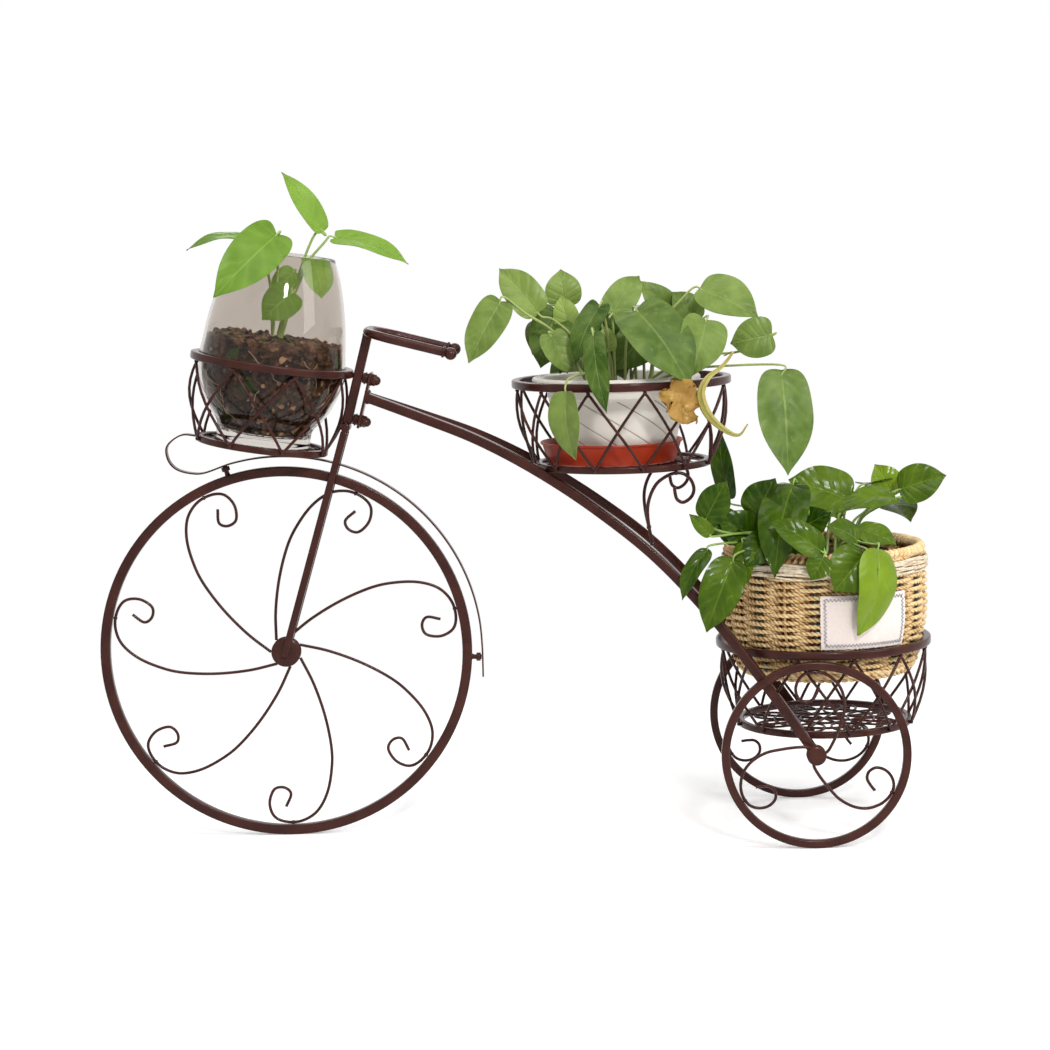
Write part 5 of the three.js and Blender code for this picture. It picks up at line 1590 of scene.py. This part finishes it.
leaf_finish("leaf_pale", (0.07, 0.15, 0.008), (0.2, 0.34, 0.045), (0.32, 0.46, 0.1), 0.34, 0.06)
leaf_finish("leaf_mid", (0.03, 0.07, 0.006), (0.25, 0.34, 0.08), (0.3, 0.38, 0.11), 0.3, 0.35)
leaf_finish("leaf_dark", (0.01, 0.038, 0.0005), (0.24, 0.36, 0.018), (0.22, 0.34, 0.03), 0.18, 0.25, 0.45)
leaf_finish("leaf_dead", (0.16, 0.06, 0.01), (0.62, 0.4, 0.1), (0.66, 0.52, 0.2), 0.4, 0.8)
for name, first, second in (("stalk_pale", (0.2, 0.32, 0.06), (0.34, 0.46, 0.13)),
                            ("stalk_mid", (0.2, 0.27, 0.06), (0.36, 0.42, 0.14)),
                            ("stalk_dark", (0.15, 0.25, 0.04), (0.3, 0.43, 0.1)),
                            ("stalk_yellow", (0.2, 0.13, 0.02), (0.38, 0.37, 0.07))):
    mottled_finish(name, first, second, (60, 3), 0.4, bumps=(400, 3, 0.3, 0.4))
print("leaf finishes", [name for name in finishes if name.startswith("leaf")])

# %% [markdown]
# A plant is a list of leaves. Each row gives a leaf's base, its tip and its width, in shares of the
# plant's reach from the middle of its pot's rim, then the way it faces, and its tone from 0 for dark
# to 1 for pale. The tone is partly the leaf's own green and partly painted light and shade: leaves
# tucked inside a crown get low tones as painted shade, and the palest get high tones as painted light.
# Its stalk starts in the compost, within the plant's spread round the middle, and is bent over the
# ledge where the leaf hangs outside. A leaf's shape is its fold, bow, curl and wave, and how far its
# lobes reach back.

# %% Growing a plant
leaf_shapes = {
    "leaf_pale": (0.3, 0.08, 0.16, 0.012, 0.9),
    "leaf_mid": (0.32, 0.09, 0.2, 0.014, 0.8),
    "leaf_dark": (0.36, 0.12, 0.28, 0.018, 0.35),
}
leaf_breadths = {"leaf_pale": 1, "leaf_mid": 1, "leaf_dark": 1.16}
stalk_width = 2.8


def stalk_line(base, lengthwise, length, root_depth, ledge, spread, seed):
    """Gives the line of a stalk from the compost to a little way along its leaf."""
    shaker = random.Random(seed)
    flat = math.hypot(base.x, base.y)
    out = Vector((base.x, base.y, 0)) / flat
    root = -root_depth - 3
    hangs = flat > ledge * 0.85 and base.z < ledge * 0.35
    heart_reach = min(flat * 0.6, spread) * shaker.uniform(0.4, 1)
    heart = out * heart_reach + Vector((0, 0, root))
    high = root + (base.z - root) * 0.6
    knee = max(min(flat * 0.5, 2 * spread), heart_reach)
    line = [heart, out * knee + Vector((0, 0, max(high, 5) if hangs else high))]
    if hangs:
        line.append(out * min(ledge, flat - 3) + Vector((0, 0, max(base.z, 0) * 0.6 + 6)))
    else:
        line.append(out * flat * 0.8 + Vector((0, 0, base.z - flat * 0.1)))
    line += [base - lengthwise * min(6, length * 0.08), base + lengthwise * length * 0.05]
    return line


def grow(plant, rows, place, reach, ledge, spread, root_depth, body, finish, node, seed):
    """Grows every leaf and stalk of a plant and hands it over as two pieces. Sizes are in millimetres."""
    blades = []
    stalks = []
    for i, (bx, by, bz, tx, ty, tz, width, fx, fy, fz, tone) in enumerate(rows):
        base = Vector((bx, by, bz)) * reach
        tip = Vector((tx, ty, tz)) * reach
        facing = Vector((fx, fy, fz))
        shape = leaf_shapes[finish]
        breadth = width * reach * leaf_breadths[finish] * mm
        blades.append(leaf_blade("blade", base * mm, tip * mm, breadth, facing, shape, seed + i, tone))
        lengthwise = (tip - base).normalized()
        length = (tip - base).length
        line = bend(stalk_line(base, lengthwise, length, root_depth, ledge, spread, seed + i))
        radii = [1.25 - 0.55 * j / (len(line) - 1) for j in range(len(line))]
        stalks.append(wire("stalk", [point * mm for point in line], stalk_width * mm, radii=radii))
    leaves = join(f"{plant}_leaves", blades)
    stems = join(f"{plant}_stalks", stalks)
    for piece in (leaves, stems):
        settle(piece, place)
    hand_over(leaves, body, finish, [node])
    hand_over(stems, body, finish.replace("leaf", "stalk"))
    print(plant, len(rows), "leaves")


# %% Plant in the vase
vase_rows = [
    (0.27, 0.04, 0.19, -0.11, 0, 0.61, 0.2, 0.4, -1, 0.5, 0.7),
    (0.38, 0, 0.15, 0.99, -0.07, 0.02, 0.22, 0, -0.7, 1, 0.65),
    (-0.06, -0.24, 0.12, -0.45, -0.63, -0.42, 0.39, 0, -1, 0.1, 0.35),
    (-0.33, 0.18, 0.06, -0.81, 0.14, -0.11, 0.15, -0.4, -0.5, 1, 0.3),
    (0.24, -0.04, -0.06, 0.34, -0.11, -0.34, 0.26, 0.6, -1, 0.2, 0.5),
    (0.11, -0.18, -0.32, -0.09, -0.29, -0.56, 0.29, 0.1, -1, 0.2, 0.1),
    (0.09, 0, -0.16, -0.07, -0.04, -0.35, 0.19, -0.1, -1, 0.2, 0.6),
]
vase_height = 214
vase_plant_place = vase_place @ Matrix.Translation((0, 0, 218 * mm))
nothing_hangs = 10000
grow(
    "vase_pothos", vase_rows, vase_plant_place, reach=140, ledge=nothing_hangs, spread=9,
    root_depth=vase_height - vase_soil_top, body="vase", finish="leaf_pale", node="vase_plant", seed=300,
)

# %% Plant in the ceramic pot
# The lowest tones, of leaves tucked inside the crown, are painted shade, and the tone of 1.15 is painted
# light.
pot_rows = [
    (-0.7, -0.11, 0.48, -0.91, -0.19, 0.11, 0.24, -0.3, -1, 0.3, 0.5),
    (-0.47, -0.06, 0.4, -0.71, 0.06, 0.68, 0.23, -0.1, -1, 0.5, 0.6),
    (-0.31, 0.22, 0.43, -0.33, 0.25, 0.66, 0.23, 0.1, -1, -0.1, 0.6),
    (-0.27, 0.08, 0.28, -0.33, 0.11, 0.5, 0.17, -0.2, -1, -0.1, 1.15),
    (-0.36, 0.11, 0.41, -0.47, 0.08, 0.05, 0.26, -0.2, -1, 0.2, 0.2),
    (-0.4, -0.17, 0.27, -0.3, -0.22, 0.03, 0.19, 0.3, -1, 0.2, 0.5),
    (-0.09, -0.22, 0.44, -0.25, -0.33, 0.09, 0.19, -0.6, -1, 0.2, 0.1),
    (-0.02, -0.11, 0.38, 0.16, 0.06, 0.61, 0.21, 0, -1, 0.6, 0.5),
    (0.38, 0.25, 0.26, 0.15, 0.17, 0.58, 0.22, 0.4, -1, 0.4, 0.4),
    (0.13, -0.33, 0.41, 0.43, -0.73, -0.04, 0.39, 0.3, -1, 0.3, 0.2),
    (0.5, 0.14, 0.31, 0.37, 0.17, 0.5, 0.2, 0.4, -1, 0.2, 0.3),
    (0.55, -0.36, 0.34, 0.44, -0.58, 0.01, 0.29, 0.2, -1, 0.3, 0.45),
    (0.53, -0.06, 0.52, 0.88, -0.17, 0.34, 0.31, 0.2, -0.9, 0.7, 0.5),
    (0.95, -0.33, 0.24, 0.7, -0.28, 0.19, 0.25, 0.2, -1, 0.2, 0.42),
    (0.98, -0.63, 0.04, 1, -0.77, -0.58, 0.35, 0.3, -1, 0.1, 0.27),
    (-0.14, -0.62, 0.29, -0.07, -0.76, -0.18, 0.15, -0.3, -1, 0.1, 0.1),
    (-0.31, -0.7, -0.05, -0.26, -0.69, -0.46, 0.25, -1, -1, 0.1, 0.6),
    (-0.33, 0.28, 0.33, -0.53, 0.6, 0.11, 0.28, -0.3, 0.8, 0.5, 0.3),
    (0, 0.33, 0.33, 0.06, 0.74, 0.08, 0.3, 0, 0.8, 0.6, 0.3),
    (0.33, 0.33, 0.28, 0.61, 0.58, 0.06, 0.28, 0.3, 0.8, 0.6, 0.35),
    (0.17, 0.22, 0.4, 0.33, 0.47, 0.38, 0.24, 0.1, 0.6, 1, 0.3),
    (-0.1, 0.17, 0.33, 0.06, 0.08, -0.04, 0.26, 0.2, -1, 0.1, 0.1),
    (-0.22, 0.14, 0.31, -0.35, 0.08, 0.01, 0.22, -0.3, -1, 0.1, 0.2),
    (0.25, 0.14, 0.28, -0.02, 0.06, 0.02, 0.28, -0.1, -1, 0.2, 0.15),
    (-0.05, -0.11, 0.16, -0.06, -0.08, 0.31, 0.12, 0.1, -1, 0.2, 0.9),
    (-0.26, 0.6, 0.1, -0.3, 0.76, -0.28, 0.26, -0.3, 1, 0.1, 0.3),
]
pot_rim_place = pot_place @ Matrix.Translation((0, 0, pot_height * mm))
grow(
    "pot_pothos", pot_rows, pot_rim_place, reach=180, ledge=123.2, spread=42,
    root_depth=15, body="pot", finish="leaf_mid", node="pot_plant", seed=340,
)

# %% [markdown]
# Two leaves of this plant have withered. One hangs over the rim, tan and crumpled like paper: a leaf
# blade whose points noise has pushed about. The other has rolled up from both edges, so it is a
# narrow ribbon with a two-lobed section, wider in its middle, that curls at its end.

# %% Withered leaves
withered_base = Vector((53, -122, -3)) * mm
withered_tip = Vector((82, -123, -49)) * mm
withered_width = 38 * mm
withered_facing = Vector((0, -1, 0.2))
withered_shape = (0.5, 0.1, 0.3, 0.05, 0.3)
withered = leaf_blade(
    "withered_leaf", withered_base, withered_tip, withered_width, withered_facing, withered_shape, 374, 0.38
)
crumple_places = (Vector((1.7, 0.4, 6.2)), Vector((9.3, 4.1, 2.7)), Vector((3.6, 8.2, 5.9)))
coarse_crumple = 9
fine_crumple = 4
for corner in withered.data.vertices:
    push = []
    for place in crumple_places:
        coarse = coarse_crumple * noise.noise(corner.co * 75 + place)
        push.append(coarse + fine_crumple * noise.noise(corner.co * 200 + place))
    corner.co += Vector((push[0], -abs(push[1]), push[2])) * mm
settle(withered, pot_rim_place)
hand_over(withered, "pot", "leaf_dead")
rolled_points = [(118, -70, 22), (126, -92, 27), (113, -112, 13), (97, -124, 2), (89, -131, -13),
                 (92, -135, -29), (101, -137, -43), (117, -139, -56), (129, -139, -59), (138, -137, -48)]
rolled_line = bend([Vector(point) * mm for point in rolled_points], steps=5)
rolled_radii = [0.25 + math.sin(math.pi * i / len(rolled_line)) ** 2 for i in range(len(rolled_line))]
rolled_section = lobed_section("rolled_section", 8.5, 2.4)
rolled = wire("rolled_leaf", rolled_line, 0, section=rolled_section, radii=rolled_radii)
bpy.data.objects.remove(rolled_section)
settle(rolled, pot_rim_place)
hand_over(rolled, "pot", "stalk_yellow")
print("withered leaves", 2)

# %% Plant in the straw basket
# The lowest tones, of leaves tucked inside the crown, are painted shade.
basket_rows = [
    (-0.67, -0.66, -0.02, -0.87, -0.72, -0.51, 0.25, -0.2, -1, 0.2, 0.16),
    (-0.84, -0.64, 0.05, -1.03, -0.68, -0.29, 0.12, -0.6, -1, 0.1, 0.08),
    (-0.86, -0.66, 0.25, -0.71, -0.69, 0.52, 0.2, -0.3, -1, 0.2, 0.1),
    (-0.82, -0.65, 0.15, -0.97, -0.68, 0.3, 0.09, -0.2, -1, 0.3, 0.23),
    (-0.61, 0.83, 0.23, -0.67, 0.85, 0.76, 0.15, -0.5, -1, 0, 0.06),
    (-0.49, -0.38, 0.23, -0.36, -0.4, 0.5, 0.25, -0.2, -1, 0.3, 0.1),
    (-0.23, -0.33, 0.45, -0.4, -0.7, -0.15, 0.29, -0.3, -1, 0.3, 0.12),
    (0.21, 0.19, 0.27, -0.22, 0.25, 0.42, 0.32, 0.1, -1, 0.5, 0.29),
    (-0.08, -0.76, 0.03, -0.42, -0.72, 0.24, 0.18, 0.2, -1, 0.4, 0.16),
    (0.5, -0.12, 0.31, 0.06, -0.31, 0.23, 0.18, 0, -0.8, 1, 0.26),
    (0.53, -0.06, 0.36, 0.85, -0.12, 0.46, 0.24, 0.2, -1, 0.5, 0.18),
    (0.51, 0.16, 0.29, 0.39, 0.19, 0.52, 0.2, 0, -1, 0.3, 0.6),
    (0.19, -0.49, 0.06, -0.03, -0.52, 0.17, 0.2, 0.2, -0.8, 1, 0.18),
    (0.2, -0.38, 0.13, 0.46, -0.45, 0.02, 0.19, 0.2, -0.8, 1, 0.23),
    (-0.07, -0.78, 0, -0.16, -0.8, -0.16, 0.15, -0.1, -1, 0.2, 0.16),
    (0.21, -0.75, 0.01, -0.01, -0.81, -0.24, 0.29, 0.1, -1, 0.3, 0.18),
    (0.3, -0.71, 0.03, 0.15, -0.77, -0.55, 0.33, 1, -1, 0.2, 0.62),
    (-0.57, -0.25, 0.07, -0.76, -0.38, 0.3, 0.21, -0.3, -1, 0.3, 0.1),
    (-0.5, -0.38, 0.08, -0.78, -0.44, 0.24, 0.23, -0.2, -1, 0.5, 0.05),
    (-0.6, -0.52, 0.08, -0.57, -0.6, -0.2, 0.13, -0.4, -1, 0.1, 0.26),
    (-0.21, -0.12, 0.09, 0.04, -0.19, 0.23, 0.2, 0.1, -1, 0.4, 0.03),
    (-0.42, -0.5, 0.1, -0.59, -0.62, -0.08, 0.2, -0.2, -1, 0.2, 0.05),
    (-0.3, -0.44, 0.07, -0.13, -0.56, -0.03, 0.15, 0.1, -1, 0.5, 0.05),
    (-0.62, -0.3, 0.24, -0.82, -0.52, 0.12, 0.18, -0.2, -1, 0.4, 0.1),
    (-0.25, 0.31, 0.25, -0.44, 0.69, 0.06, 0.3, -0.3, 0.7, 0.7, 0.16),
    (0.12, 0.38, 0.28, 0.19, 0.78, 0.05, 0.3, 0, 0.7, 0.7, 0.16),
    (0.44, 0.31, 0.25, 0.69, 0.59, 0.05, 0.28, 0.3, 0.6, 0.8, 0.18),
    (0.31, 0.12, 0.38, 0.59, 0.38, 0.31, 0.25, 0.2, 0.4, 1, 0.18),
]
basket_rim_place = straw_place @ Matrix.Translation((0, 0, straw_height * mm))
grow(
    "basket_pothos", basket_rows, basket_rim_place, reach=160, ledge=113.5, spread=50,
    root_depth=15, body="straw", finish="leaf_dark", node="basket_plant", seed=380,
)
